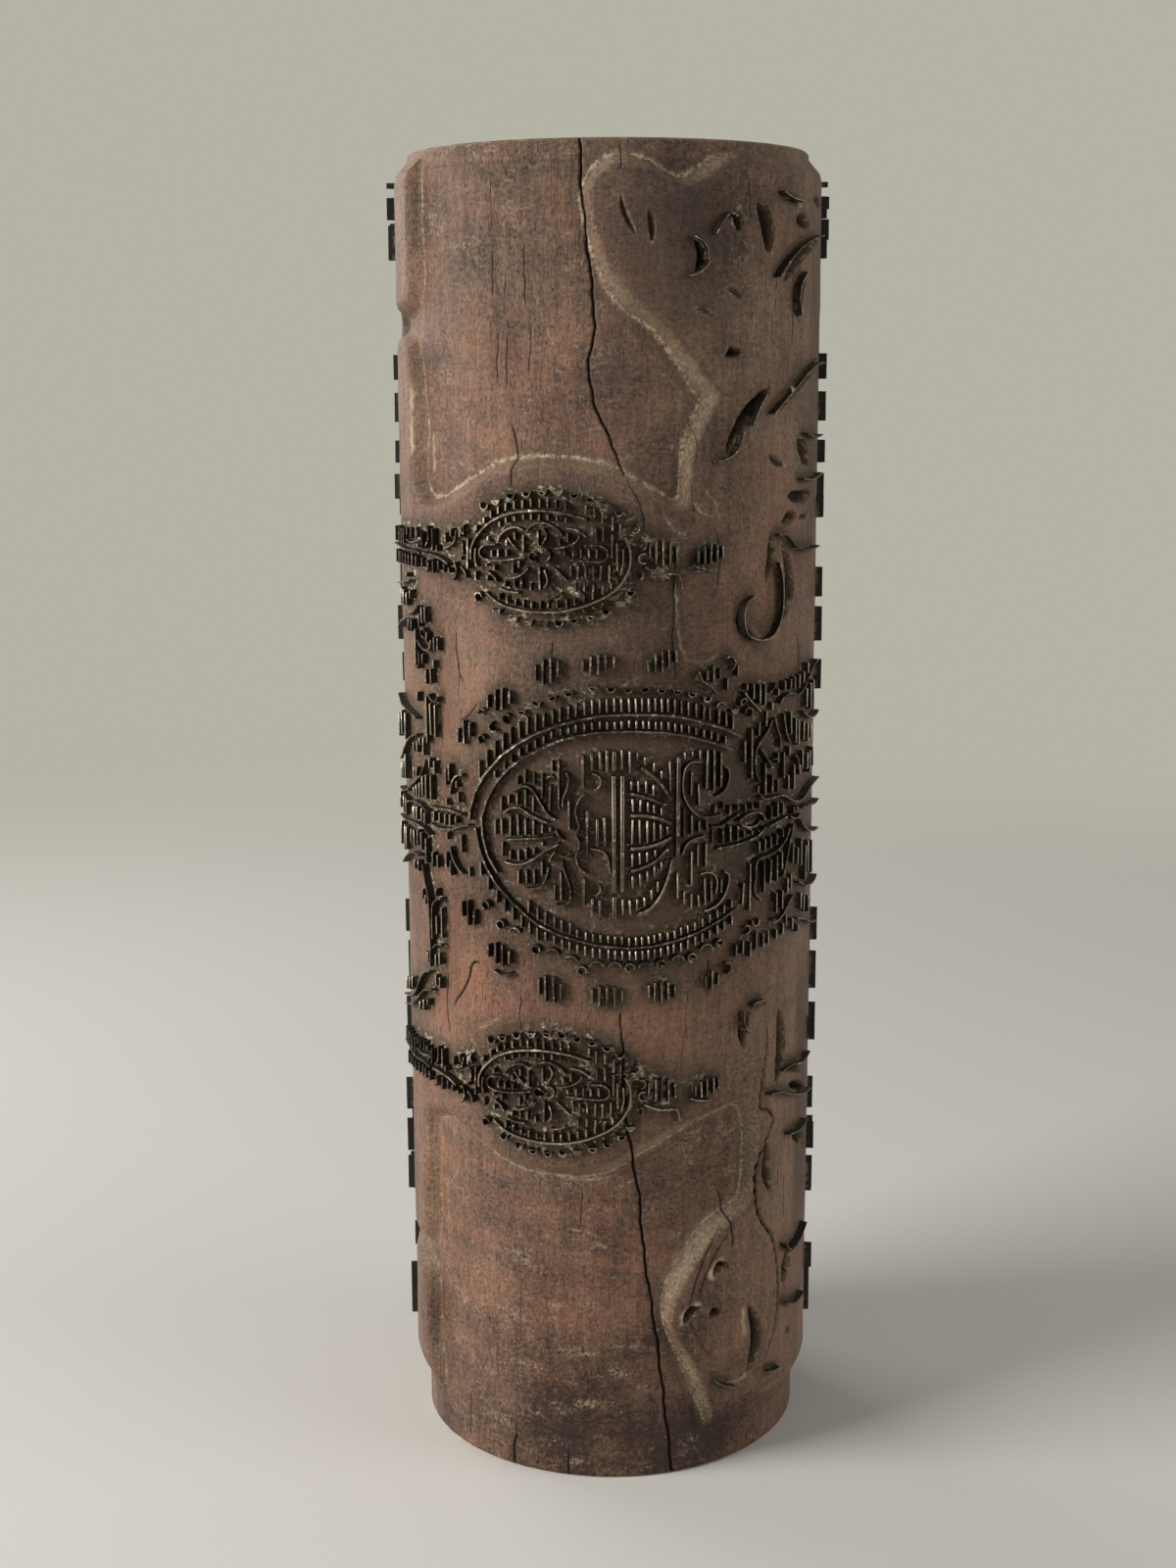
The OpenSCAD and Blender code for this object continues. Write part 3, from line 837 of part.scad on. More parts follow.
module back_leaf_hatch() { color(metal) turned_round() leaf_hatch(); }
module back_column_outline() { color(metal) turned_round() column_outline(); }
module back_column_hatch() { color(metal) turned_round() column_hatch(); }
module back_upper_sprig() { color(metal) turned_round() upper_sprig(); }
module back_lower_sprig() { color(metal) turned_round() lower_sprig(); }

roller_body();
front_upper_oval_rim();
front_upper_oval_flower();
front_upper_oval_hatch();
front_upper_oval_beads();
front_upper_tail();
front_lower_oval_rim();
front_lower_oval_flower();
front_lower_oval_hatch();
front_lower_oval_beads();
front_lower_tail();
front_medallion_rims();
front_band_hatch();
front_fringe_hatch();
front_medallion_beads();
front_lappets();
front_palmette_outline();
front_palmette_hatch();
front_urn_outline();
front_urn_bars();
front_bowl_hatch();
front_scroll_outline();
front_scroll_hatch();
front_stem();
front_leaf_outline();
front_leaf_hatch();
front_column_outline();
front_column_hatch();
front_upper_sprig();
front_lower_sprig();
back_upper_oval_rim();
back_upper_oval_flower();
back_upper_oval_hatch();
back_upper_oval_beads();
back_upper_tail();
back_lower_oval_rim();
back_lower_oval_flower();
back_lower_oval_hatch();
back_lower_oval_beads();
back_lower_tail();
back_medallion_rims();
back_band_hatch();
back_fringe_hatch();
back_medallion_beads();
back_lappets();
back_palmette_outline();
back_palmette_hatch();
back_urn_outline();
back_urn_bars();
back_bowl_hatch();
back_scroll_outline();
back_scroll_hatch();
back_stem();
back_leaf_outline();
back_leaf_hatch();
back_column_outline();
back_column_hatch();
back_upper_sprig();
back_lower_sprig();
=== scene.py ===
"""Antique textile printing roller: a bored hardwood cylinder with a raised print face, sunken
panels, gouged scrolls, drying cracks and thin metal strips driven edgewise into the wood.

The roller stands on its foot end at z = 0 and its seen side faces -Y. Places on the print face are
written as (degrees to the right of the front, millimetres above the foot).
"""

import math

import bmesh
import bpy
import numpy as np
from mathutils import Matrix, Vector


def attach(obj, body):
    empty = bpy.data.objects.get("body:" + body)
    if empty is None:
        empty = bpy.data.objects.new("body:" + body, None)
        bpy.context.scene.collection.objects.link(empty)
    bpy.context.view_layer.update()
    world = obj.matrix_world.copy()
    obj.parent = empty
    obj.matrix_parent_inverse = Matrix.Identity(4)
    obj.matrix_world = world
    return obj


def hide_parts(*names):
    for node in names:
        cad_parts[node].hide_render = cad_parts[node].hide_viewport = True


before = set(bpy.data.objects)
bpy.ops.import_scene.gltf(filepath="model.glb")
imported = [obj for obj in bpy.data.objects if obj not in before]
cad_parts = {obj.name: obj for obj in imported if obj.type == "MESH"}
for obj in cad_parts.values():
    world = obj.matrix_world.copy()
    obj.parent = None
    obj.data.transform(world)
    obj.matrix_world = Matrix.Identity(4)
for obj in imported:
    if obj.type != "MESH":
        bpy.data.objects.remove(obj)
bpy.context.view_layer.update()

# sizes are in millimetres; MM turns them into metres
MM = 0.001
LENGTH = 508.0
COLLAR_R = 76.5
GROUND_R = 81.75
STRIP_R = 84.75
BORE_R = 31.0
PANEL_RUN = 4.5
GOUGE_DEPTH = 4.5
SMALL_GOUGE_DEPTH = 1.6
DEEPEST_R = 74.0
THINNEST_LINE = 0.008

# millimetres along the print face for one degree
PER_DEGREE = GROUND_R * math.pi / 180

# the skin is cut into equal sheets
STAVES = 6
STAVE_COLUMNS = 167
CORE_RINGS = 16

# what the finish reads at each place of the skin, and what the two line masks hold far from a line
# one darkening mask holds grime and painted shade, one holds the black painted shade in cracks and gouge
# hollows, and one holds pale deposits and a painted highlight on the panel walls
MASKS = ("pale_deposit_and_highlight", "dirt_and_shade", "crack_and_hollow_shade", "bare", "floor", "light", "red", "crust", "seam", "nick")
FAR = 99


# shapes cut into the print face

# turned profile: height above the foot, radius
TURNED = [(0, 75.5), (1, 76.5), (16, 76.5), (24.5, 80.95), (27.5, 81.75), (497, 81.75), (500, 81.15),
          (505.5, 76.5), (507, 76.5), (508, 75.5)]

# lines left by the turner's chisel: height above the foot, depth
TURNED_LINES = [(15.2, 0.3), (18.6, 0.14), (21.5, 0.26), (28.5, 0.16), (47, 0.06), (120, 0.05),
                (384, 0.06), (447, 0.07), (479, 0.06), (500.5, 0.14)]

UPPER_PANEL = [
    (-66, 560), (-64.5, 520), (-66.5, 500), (-66, 485), (-66.5, 465), (-68.5, 456), (-74, 452.2),
    (-84, 451.7), (-92, 451.6), (-95.2, 449.8), (-96.6, 445), (-95.2, 440.3), (-92, 438.5),
    (-84, 438.4), (-75, 437.9), (-68.5, 433.5), (-66.5, 424), (-66.5, 400), (-66, 387), (-60, 378),
    (-50, 378.5), (-40, 384.5), (-30, 391), (-20, 394), (-10, 393.5), (0, 389.5), (10, 383),
    (18, 378.5), (21.5, 382), (22, 392), (23, 401), (27, 411), (29.5, 419), (26, 425.5), (21, 434),
    (12, 448), (5, 457), (0, 468), (-3, 480), (-3.2, 491), (2, 497.5), (10, 496.5), (16, 492),
    (20, 491), (24, 493), (30, 498), (38, 506), (38, 530), (30, 560)]

LOWER_PANEL = [
    (33, -30), (33, 0), (31, 20), (28, 34), (25, 45), (21.5, 54), (18.5, 61), (17.5, 68), (19, 76),
    (24, 87), (30, 97), (37, 103.5), (42, 107), (44.5, 117), (46, 131), (45.5, 141), (43, 150),
    (38, 153), (30, 151), (18, 146.5), (8, 140), (0, 133.5), (-10, 130.5), (-20, 130.5),
    (-32, 133.5), (-43, 139.5), (-51, 143), (-59, 141.5), (-64.5, 138), (-66.5, 126), (-66.5, 95),
    (-68.5, 85), (-74, 81.6), (-84, 81.1), (-92, 81), (-95.2, 79.2), (-96.6, 74.5), (-95.2, 69.8),
    (-92, 68), (-84, 67.9), (-75, 67.4), (-68.5, 64.5), (-66.5, 54), (-66, 30), (-64, 0), (-66, -30)]

# gouged hollows: start, end, width, bow
GOUGES = [
    ((3, 489), (7, 475), 2.5, -1), ((10, 484), (11, 472), 3, 0.5), ((33, 484), (35, 476), 4, 1),
    ((41, 488), (45.5, 469), 7, 2), ((22, 475), (22.5, 462), 4.5, 3), ((31, 457), (36.5, 452.5), 2.5, 0.5),
    ((31, 433), (36, 434), 4, 1), ((22, 449.5), (28, 447), 2, 0.5), ((31, 398), (47, 422), 4.5, 3),
    ((39, 346), (41, 330.5), 4, -5), ((47, 369), (45.5, 352), 4.5, 2), ((52, 366), (47, 331), 7, 10),
    ((52, 372), (60, 374), 4, 1), ((61, 373), (71, 373), 3, 0.5), ((55, 382), (70, 382), 5, -1),
    ((60, 403), (67, 392), 8, 1), ((49, 413), (78, 431), 4.5, 3), ((46, 398), (54, 393), 3.5, -1),
    ((60, 445), (64, 464), 8, 4), ((51, 459), (75, 476), 4, 3), ((57, 482), (66, 479), 5, 1),
    ((51, 490), (61, 486), 2.5, 0.5), ((69, 490), (80, 486), 4, 1),
    ((42, 188), (39.5, 172), 4.5, -3), ((41.4, 186.2), (48, 189), 4, 1.5), ((53.6, 184), (53, 153), 7, 3),
    ((57, 158), (70, 152), 4, 1), ((49.5, 131), (51, 109), 5, -2.5), ((29.5, 82), (35, 85), 4, 2.5),
    ((20.5, 64.5), (26, 70.5), 4, 2), ((28, 66), (32, 67), 4, 0.5), ((42, 66), (41.5, 36), 6.5, 5),
    ((58, 66), (66, 82), 7, 3), ((60, 44), (64, 43), 4, 0.5), ((63, 128), (74, 118), 7, 2),
    ((60, 150), (75, 140), 4, 1)]

EDGE_GROOVE = [(48.6, 178), (48.6, 168), (46.6, 155), (46.3, 146), (50.1, 143.5), (52.1, 138),
               (48.1, 130), (45.1, 121), (44.6, 108), (47.1, 99), (52.1, 90), (54.6, 80),
               (55.6, 65), (54.1, 50), (49.6, 40)]

MAIN_CRACK = [(-7.5, 530), (-7, 498), (-6, 480), (-4.5, 462), (-3.5, 445), (-5, 430), (-4, 418),
              (-2.5, 413), (-0.5, 408), (1.5, 400), (5, 390)]
FOOT_CRACK = [(3, 192), (3.5, 176), (4.5, 150), (6.2, 135), (8.4, 118), (9.5, 100), (10.5, 88),
              (12.5, 70), (14, 55), (15.5, 38), (17, 20), (19.3, -8)]

# finer drying cracks: path, half width, depth
FRONT_CRACKS = [
    (MAIN_CRACK, 0.42, 3.5), (FOOT_CRACK, 0.5, 4), ([(-27, 410), (-25.5, 400), (-25, 386)], 0.5, 1.6),
    ([(-32.5, 471), (-33, 463), (-32.4, 454)], 0.42, 1.2),
    ([(-22.5, 473), (-23, 462), (-22.4, 451)], 0.42, 1.2),
    ([(-31.5, 443), (-31.2, 434), (-31.7, 424)], 0.42, 1.2),
    ([(-28.5, 442), (-28.2, 432), (-28.7, 422)], 0.42, 1.2),
    ([(-21.5, 446), (-21.2, 436), (-21.7, 426)], 0.4, 1),
    ([(5, 390), (7, 384), (8.5, 378), (9.5, 371)], 0.4, 1),
    ([(-36.5, 207.5), (-38.6, 207), (-40, 205), (-42, 198), (-45, 192), (-48, 186)], 0.55, 2),
    ([(-44, 335), (-43.5, 320), (-41.5, 314)], 0.42, 1.2),
    ([(-43, 300), (-40, 302), (-36, 308)], 0.4, 1), ([(-50, 200), (-50.4, 188), (-50, 175)], 0.42, 1.2),
    ([(-29.5, 14), (-30, 7), (-29.6, -2)], 0.6, 3), ([(-12, 10), (-12.4, 4), (-12, -2)], 0.5, 2),
    ([(-47.5, 24), (-48, 12), (-47.6, 4)], 0.4, 1.2),
    ([(16.8, 366), (17, 350), (16.6, 334), (17.2, 318)], 0.42, 1.2),
    ([(-14, 333), (-14.4, 325), (-14, 316)], 0.42, 1.2),
    ([(29, 372), (29.6, 360), (29, 349)], 0.4, 0.9), ([(-24, 198), (-24.4, 190), (-23.8, 182)], 0.4, 1),
    ([(27, 212), (27.4, 204), (26.8, 196)], 0.4, 1), ([(3, 506), (3.4, 500), (3, 496)], 0.4, 1),
    ([(38, 495), (38.4, 486), (38, 478)], 0.4, 1),
    ([(33, 116), (34.5, 110), (35.5, 100), (35.8, 92)], 0.5, 1.4),
    ([(56, 470), (56.6, 452), (56, 436)], 0.42, 1.2), ([(-8, 120), (-8.3, 112), (-8, 104)], 0.4, 0.8),
    ([(62, 330), (62.6, 316), (62, 300)], 0.42, 1.2)]
BACK_CRACKS = [
    ([(12, 530), (11, 500), (11.8, 470), (9.6, 440), (10.4, 415), (8, 395)], 0.6, 4),
    ([(-22, 155), (-20.5, 128), (-21.4, 100), (-18.8, 66), (-19.6, 30), (-18, -8)], 0.6, 4),
    ([(38, 60), (38.8, 40), (38.2, 18)], 0.45, 1.4),
    ([(-46, 420), (-45.4, 405), (-46, 388)], 0.45, 1.4),
    ([(-38, 480), (-37.4, 470), (-38, 458)], 0.42, 1.2),
    ([(22, 352), (22.6, 336), (22, 322)], 0.42, 1.2),
    ([(-34, 206), (-36.6, 198), (-38, 186)], 0.5, 1.6), ([(4, 112), (4.6, 98), (4, 84)], 0.42, 1)]

# pale scratches and rubbed lines: path, half width, strength
FRONT_SCRATCHES = [
    ([(-38, 181), (-34, 184), (-30, 188)], 0.5, 0.5),
    ([(17, 356), (17.6, 346), (18, 338), (18.8, 330), (20.5, 325),
      (24, 323.6), (28, 324.6), (30, 328)], 0.5, 0.55),
    ([(14, 377.5), (17, 372), (20, 369.5)], 0.5, 0.7), ([(21, 383), (24.4, 378), (28, 376)], 0.45, 0.5),
    ([(25, 386), (28.4, 381), (30, 374)], 0.45, 0.45),
    ([(10, 366), (16, 366.6), (22, 365.6)], 0.45, 0.3),
    ([(-31, 203), (-27, 196), (-24.5, 189)], 0.45, 0.3),
    ([(-42, 178), (-37, 172), (-32, 170.5)], 0.45, 0.35),
    ([(10, 162), (17, 163.6), (24, 163)], 0.45, 0.35),
    ([(-24, 129), (-16, 125.4), (-6, 124), (2, 126)], 0.55, 0.5),
    ([(-66.4, 396), (-66.2, 410), (-66, 424)], 1.0, 0.7),
    ([(-58.6, 390), (-59, 398), (-59, 406)], 1.0, 0.5),
    ([(-21, 462), (-18.6, 450), (-15, 438), (-12.6, 430)], 0.45, 0.35),
    ([(-3, 85), (0, 84), (2, 84.6)], 0.5, 0.35), ([(-41, 76), (-39.6, 70), (-40, 64)], 0.5, 0.35)]
BACK_SCRATCHES = [
    ([(-30, 186), (-24, 190), (-16, 190.6)], 0.5, 0.45), ([(12, 356), (17, 348), (19, 338)], 0.5, 0.45),
    ([(-50, 466), (-40, 470), (-30, 466)], 0.5, 0.35), ([(-10, 60), (0, 62), (8, 58)], 0.5, 0.35),
    ([(20, 377), (26, 372), (30, 373)], 0.5, 0.5)]

# fresh pale cuts at the lips of small gouges, and lines scribed beside the lower right bevel
FRESH_CUTS = [
    ([(29.4, 80.6), (29.2, 84), (31, 87), (33.6, 88)], 1.3, 1.0),
    ([(20, 64), (20.4, 68), (22.6, 71), (26, 72)], 1.3, 1.0),
    ([(33, 478), (34, 482), (36, 486)], 0.7, 0.5), ([(41, 53), (40.2, 60), (40.6, 66)], 0.9, 0.9),
    ([(52, 331), (47, 330), (43, 331.6), (41, 335)], 0.6, 0.45),
    ([(43, 37), (38, 35.4), (34, 36)], 0.7, 0.5)]
SCRIBED = [[(33.6, 104), (29.6, 97), (26.4, 89), (24, 81), (22.6, 74), (22.4, 66), (24.6, 58), (28, 50)],
           [(35.6, 100), (31.6, 94), (28.4, 87), (26, 79), (24.8, 72)]]

# broad patches of lighter or darker, redder or greyer wood: degrees, height, spreads, amount
LIGHT_PATCHES = [
    (-42, 312, 22, 34, 0.85), (-54, 112, 14, 62, 0.4), (-30, 404, 30, 14, 0.4), (14, 345, 17, 36, -0.6),
    (20, 474, 16, 22, -0.95), (-18, 480, 26, 26, -0.2), (30, 118, 15, 30, -0.25), (0, 14, 32, 20, -1.0),
    (36, 12, 24, 16, -0.7), (-2, 44, 26, 18, -0.4), (62, 190, 20, 60, 0.5), (8, 192, 30, 20, 0.2),
    (62, 90, 22, 60, 0.65), (-40, 196, 20, 26, 0.75), (-58, 262, 12, 60, 0.7), (44, 400, 12, 60, 0.3),
    (4, 104, 14, 34, -0.2), (60, 370, 16, 80, 0.3), (-68, 480, 6, 60, 0.5), (60, 300, 14, 30, 0.35)]
RED_PATCHES = [
    (-36, 200, 24, 30, 0.7), (-58, 262, 10, 70, 0.5), (6, 190, 30, 16, 0.2), (-62, 100, 7, 60, 0.4),
    (-14, 425, 24, 22, 0.45), (-40, 470, 24, 34, -0.3), (55, 120, 30, 70, -0.3),
    (40, 440, 22, 50, -0.6), (0, 80, 48, 50, 0.35), (12, 345, 20, 40, 0.4)]
# ground between the strips that is dark all over: degrees, height, spreads, amount
DARK_GROUND = [
    (17, 470, 15, 28, 0.42), (14, 345, 15, 24, 0.3), (-4, 262, 34, 40, 0.6), (-56, 262, 14, 80, 0.35),
    (47, 262, 22, 50, 0.78), (-4, 301, 24, 9, 0.72), (-4, 221, 24, 9, 0.35), (73, 140, 9, 66, 0.64),
    (75, 425, 8, 70, 0.5), (-19, 361, 20, 14, 0.8), (-19, 159, 20, 14, 0.8)]


# surfaces in numpy

def smooth_path(points, steps=6, closed=False):
    """Catmull-Rom curve through the points: on each span, half of (2b + (c - a)t +
    (2a - 5b + 4c - d)t^2 + (3b - a - 3c + d)t^3), with a and d the neighbours of b and c."""
    p = np.asarray(points, float)
    if closed:
        a, b, c, d = np.roll(p, 1, 0), p, np.roll(p, -1, 0), np.roll(p, -2, 0)
    else:
        ends = np.vstack([p[:1], p, p[-1:]])
        a, b, c, d = ends[:-3], ends[1:-2], ends[2:-1], ends[3:]
    t = (np.arange(steps) / steps)[None, :, None]
    a, b, c, d = (q[:, None, :] for q in (a, b, c, d))
    bend, sway = 2 * a - 5 * b + 4 * c - d, 3 * b - a - 3 * c + d
    curve = 0.5 * (2 * b + (c - a) * t + bend * t ** 2 + sway * t ** 3)
    curve = curve.reshape(-1, 2)
    return curve if closed else np.vstack([curve, p[-1:]])


def crescent(start, end, width, bow, steps=10):
    """Outline of a gouged hollow: a spine bowed sideways by bow times sin, its half width
    following the same sine to the power 0.6."""
    a, b = np.array(start, float), np.array(end, float)
    scale = np.array([PER_DEGREE, 1.0])
    way = (b - a) * scale
    along = way / np.hypot(*way)
    side = np.array([-along[1], along[0]])
    u = np.linspace(0, 1, steps)[:, None]
    arch = np.sin(math.pi * u)
    spine = a * scale + way * u + side * bow * arch
    half = side * width / 2 * np.maximum(arch, 0) ** 0.6
    return np.vstack([spine - half, (spine + half)[::-1][1:-1]]) / scale


def distance_to(x, z, path, closed=False):
    """Shortest distance in millimetres from each place to a bent line, the least over its straight
    steps; how far along the line, from 0 to 1, that nearest place lies; and 1 left of it, -1 right."""
    p = np.asarray(path, float) * (PER_DEGREE, 1.0)
    if closed:
        p = np.vstack([p, p[:1]])
    best = np.full(np.broadcast(x, z).shape, 1e9)
    where = np.zeros_like(best)
    side = np.ones_like(best)
    for k, (a, b) in enumerate(zip(p[:-1], p[1:])):
        step = b - a
        t = np.clip(((x - a[0]) * step[0] + (z - a[1]) * step[1]) / max(step @ step, 1e-9), 0, 1)
        far = (x - a[0] - t * step[0]) ** 2 + (z - a[1] - t * step[1]) ** 2
        nearer = far < best
        best = np.where(nearer, far, best)
        where = np.where(nearer, (k + t) / (len(p) - 1), where)
        side = np.where(nearer, np.where(step[0] * (z - a[1]) > step[1] * (x - a[0]), 1.0, -1.0), side)
    return np.sqrt(best), where, side


def draw_finely(skin, key, block, signed, half):
    """Stores the signed distance over the half width, where it is the nearest line yet. Between two
    columns it stays straight, so the finish draws a line of that width however far apart they are."""
    value = np.clip(signed / np.maximum(half, THINNEST_LINE), -FAR, FAR)
    skin[key][block] = np.where(np.abs(value) < np.abs(skin[key][block]), value, skin[key][block])


def inside(x, z, path):
    """True where a place lies within the closed outline: a line drawn from it to the right
    crosses the outline an odd number of times."""
    p = np.asarray(path, float) * (PER_DEGREE, 1.0)
    odd = np.zeros(np.broadcast(x, z).shape, bool)
    for a, b in zip(p, np.roll(p, -1, 0)):
        if a[1] != b[1]:
            crosses = (a[1] > z) != (b[1] > z)
            odd ^= crosses & (x < a[0] + (z - a[1]) * (b[0] - a[0]) / (b[1] - a[1]))
    return odd


def ease(value, low, high):
    """0 below low, 1 above high, and 3t^2 - 2t^3 between."""
    t = np.clip((value - low) / (high - low), 0, 1)
    return t * t * (3 - 2 * t)


# the skin's columns in degrees, and its rows: closer where more is cut
turns = np.arange(STAVES * STAVE_COLUMNS) * 360.0 / (STAVES * STAVE_COLUMNS) - 180.0
heights = np.concatenate([np.linspace(low, high, count)[:-1] for low, high, count in (
    (0, 2, 3), (2, 156, 170), (156, 372, 166), (372, 506, 150))] + [np.linspace(506, LENGTH, 3)])
round_x = GROUND_R * np.sin(np.radians(turns))[None, :]
round_y = -GROUND_R * np.cos(np.radians(turns))[None, :]
round_z = heights[:, None]
SHAPE = (len(heights), len(turns))


def ripple(size, seed, stretch=1.0, waves=14):
    """Smooth unevenness over the skin, about -1 to 1: the mean of cosine waves of about the given
    length in random directions through the wood, drawn out along the roller by stretch."""
    chance = np.random.default_rng(seed)
    total = np.zeros(SHAPE)
    for _ in range(waves):
        k = chance.normal(size=3)
        k *= 2 * math.pi / size * chance.uniform(0.7, 1.4) / np.linalg.norm(k)
        total += np.cos(k[0] * round_x + k[1] * round_y + k[2] / stretch * round_z + chance.uniform(0, 6.28))
    return total / math.sqrt(waves) * 0.9


def patch(turn, path, reach):
    """The block of the skin within reach of a path: its index, and its places in millimetres."""
    p = np.asarray(path, float)
    aside = reach / PER_DEGREE
    cols = np.nonzero((turn > p[:, 0].min() - aside) & (turn < p[:, 0].max() + aside))[0]
    rows = np.nonzero((heights > p[:, 1].min() - reach) & (heights < p[:, 1].max() + reach))[0]
    return np.ix_(rows, cols), turn[cols][None, :] * PER_DEGREE, heights[rows][:, None]


def deepen(skin, key, block, amount):
    """Raises a mask to the amount wherever it holds less."""
    skin[key][block] = np.maximum(skin[key][block], amount)


def sink_panel(skin, turn, outline):
    """Panel floor at the collar radius. The wall falls from the print face over PANEL_RUN
    millimetres inside the outline, by 0.45 t + 0.55 (3t^2 - 2t^3). A pale band on the middle of the
    wall is partly settled deposit and partly a painted highlight, stronger right of the front; a pale
    deposit lies in a line where the wall meets the floor; painted shade darkens the lip above the
    wall and the floor just past its foot."""
    path = smooth_path(outline, 3, closed=True)
    block, x, z = patch(turn, path, 8)
    far = distance_to(x, z, path, closed=True)[0]
    depth_in = np.where(inside(x, z, path), far, -far)
    wave, grit, raised = skin["wave"][block], skin["grit"][block], skin["raised"][block]
    run = PANEL_RUN * (1.05 + 0.22 * wave)
    t = np.clip(depth_in / run, 0, 1)
    fall = 0.45 * t + 0.55 * t * t * (3 - 2 * t)
    wall = GROUND_R - (GROUND_R - COLLAR_R) * fall
    lip = 0.35 * np.exp(-(depth_in / 0.9) ** 2)
    skin["radius"][block] = np.minimum(skin["radius"][block], np.where(depth_in > -3, wall - lip, np.inf))

    # painted highlight: the pale band on the middle of the wall stands partly for light on the slope and
    # grows to the right of the front; the line at the wall's foot is settled deposit
    to_right = 0.35 + 0.65 * ease(x / PER_DEGREE, -12, 6)
    upper_run = 0.45 * np.exp(-((z - 455) / 26) ** 2)
    slope = np.exp(-((t - 0.52) / 0.42) ** 2) * (depth_in > 0) * (depth_in < run * 1.6)
    foot = np.exp(-((depth_in - run * 1.02) / 0.9) ** 2)
    band = slope * to_right * (0.8 + 0.25 * wave - upper_run) + 0.5 * foot * (0.2 + 0.8 * grit)
    deposit_and_lit_slope = np.clip(band, 0, 1) * (0.65 + 0.35 * grit)
    deepen(skin, "pale_deposit_and_highlight", block, np.where(raised > 0.2, deposit_and_lit_slope, 0))
    deepen(skin, "floor", block, ease(depth_in, 1.5, run * 1.1))
    # painted shade: dark lines on the lip above the wall and on the floor just past its foot, stronger to
    # the right
    rim = 0.4 * np.exp(-((depth_in + 0.8) / 0.7) ** 2)
    corner = 0.55 * np.exp(-((depth_in - run * 1.5) / 0.9) ** 2)
    deepen(skin, "dirt_and_shade", block, np.where(raised > 0.2, (rim + corner) * to_right, 0))
    upper_left = ease(x / PER_DEGREE, -70, -52) * (0.4 + 0.6 * (z > LENGTH / 2))
    broken = (0.35 + 0.65 * grit) * upper_left * (raised > 0.3)
    draw_finely(skin, "nick", block, depth_in - run * 1.04, 1.1 * broken)


def cut_gouge(skin, turn, start, end, width, bow):
    """A hollow inside a crescent outline: depth grows as (distance in / 0.9)^0.7 up to its limit;
    small ones stay shallow. Painted shade darkens its floor."""
    path = crescent(start, end, width, bow)
    block, x, z = patch(turn, path, 3)
    far = distance_to(x, z, path, closed=True)[0]
    depth_in = np.where(inside(x, z, path), far, 0)
    limit, darkness = (GOUGE_DEPTH, 1.0) if width >= 4 else (SMALL_GOUGE_DEPTH, 0.85)
    floor = np.maximum(GROUND_R - limit * np.clip(depth_in / 0.9, 0, 1) ** 0.7, DEEPEST_R)
    skin["radius"][block] = np.minimum(skin["radius"][block], floor)
    # painted shade: the hollow's floor is darkened, and a further black share of painted shade lies in its
    # deeper part
    deepen(skin, "dirt_and_shade", block, ease(depth_in, -0.2, 0.8) * darkness)
    deepen(skin, "crack_and_hollow_shade", block, 0.5 * ease(depth_in, 0.3, 1.3))
    grit = skin["grit"][block]
    deepen(skin, "pale_deposit_and_highlight", block, 0.3 * np.exp(-(far / 0.8) ** 2) * (0.5 + 0.5 * grit))
    lip = 0.26 * np.clip(1.5 * grit - 0.45, 0, 1)
    draw_finely(skin, "nick", block, np.where(depth_in > 0, far, -far), lip)


def open_crack(skin, turn, path, half, depth):
    """A crack: its dent is a share of the depth times the square root of (1 - distance / half
    width), narrowing to its ends unless they run off the wood. Black painted shade fills it, and
    its finer black line of painted shade runs along it."""
    line = smooth_path(path, 6)
    block, x, z = patch(turn, line, 3)
    wander = 0.3 * np.sin(z * 0.31) + 0.13 * np.sin(z * 0.83 + 1) + 0.07 * np.sin(z * 2.3 + 2)
    far, along, side = distance_to(x + wander, z, line)
    off_head, off_foot = path[0][1] > LENGTH - 1, path[-1][1] < 1
    taper = np.clip(np.minimum(along * 6 + off_head, (1 - along) * 6 + off_foot), 0, 1)
    # painted shade: a fine black line along the crack
    draw_finely(skin, "seam", block, side * far, half * taper * (0.2 + 0.5 * min(depth / 2, 1)))
    wide = half * (0.35 + 0.65 * taper)
    dent = (0.45 if depth > 3 else 0.25) * depth
    skin["radius"][block] -= dent * np.sqrt(np.clip(1 - far / wide, 0, 1))
    # painted shade: black in the crack, with a little grime and painted shade beside it
    black = min(1.0, 0.1 + depth / 7)
    deepen(skin, "crack_and_hollow_shade", block, black * (1 - ease(far, wide * 0.6, wide * 1.45)))
    deepen(skin, "dirt_and_shade", block, 0.3 * black * np.exp(-(far / 1.3) ** 2) * taper)


def pale_line(skin, turn, path, half, strength, depth=0.12):
    """A rubbed or scratched line: a dent by the bell curve of the distance over the half width,
    tapered at both ends and broken up by the grit of the wood."""
    line = smooth_path(path, 5)
    block, x, z = patch(turn, line, 3)
    grit = skin["grit"][block]
    far, along, side = distance_to(x + 0.3 * np.sin(z * 1.3), z, line)
    taper = np.clip(np.minimum(along, 1 - along) * 7, 0, 1)
    mark = np.exp(-(far / half) ** 2) * taper
    if strength and half < 0.6:
        fine = 0.5 * half * strength ** 0.5 * taper * np.clip(2 * grit - 0.4, 0, 1)
        draw_finely(skin, "nick", block, side * far, fine)
        strength = strength * 0.45
    skin["radius"][block] -= depth * mark
    skin["crack_and_hollow_shade"][block] *= 1 - strength * mark
    deepen(skin, "bare", block, strength * mark * (0.55 + 0.45 * grit))


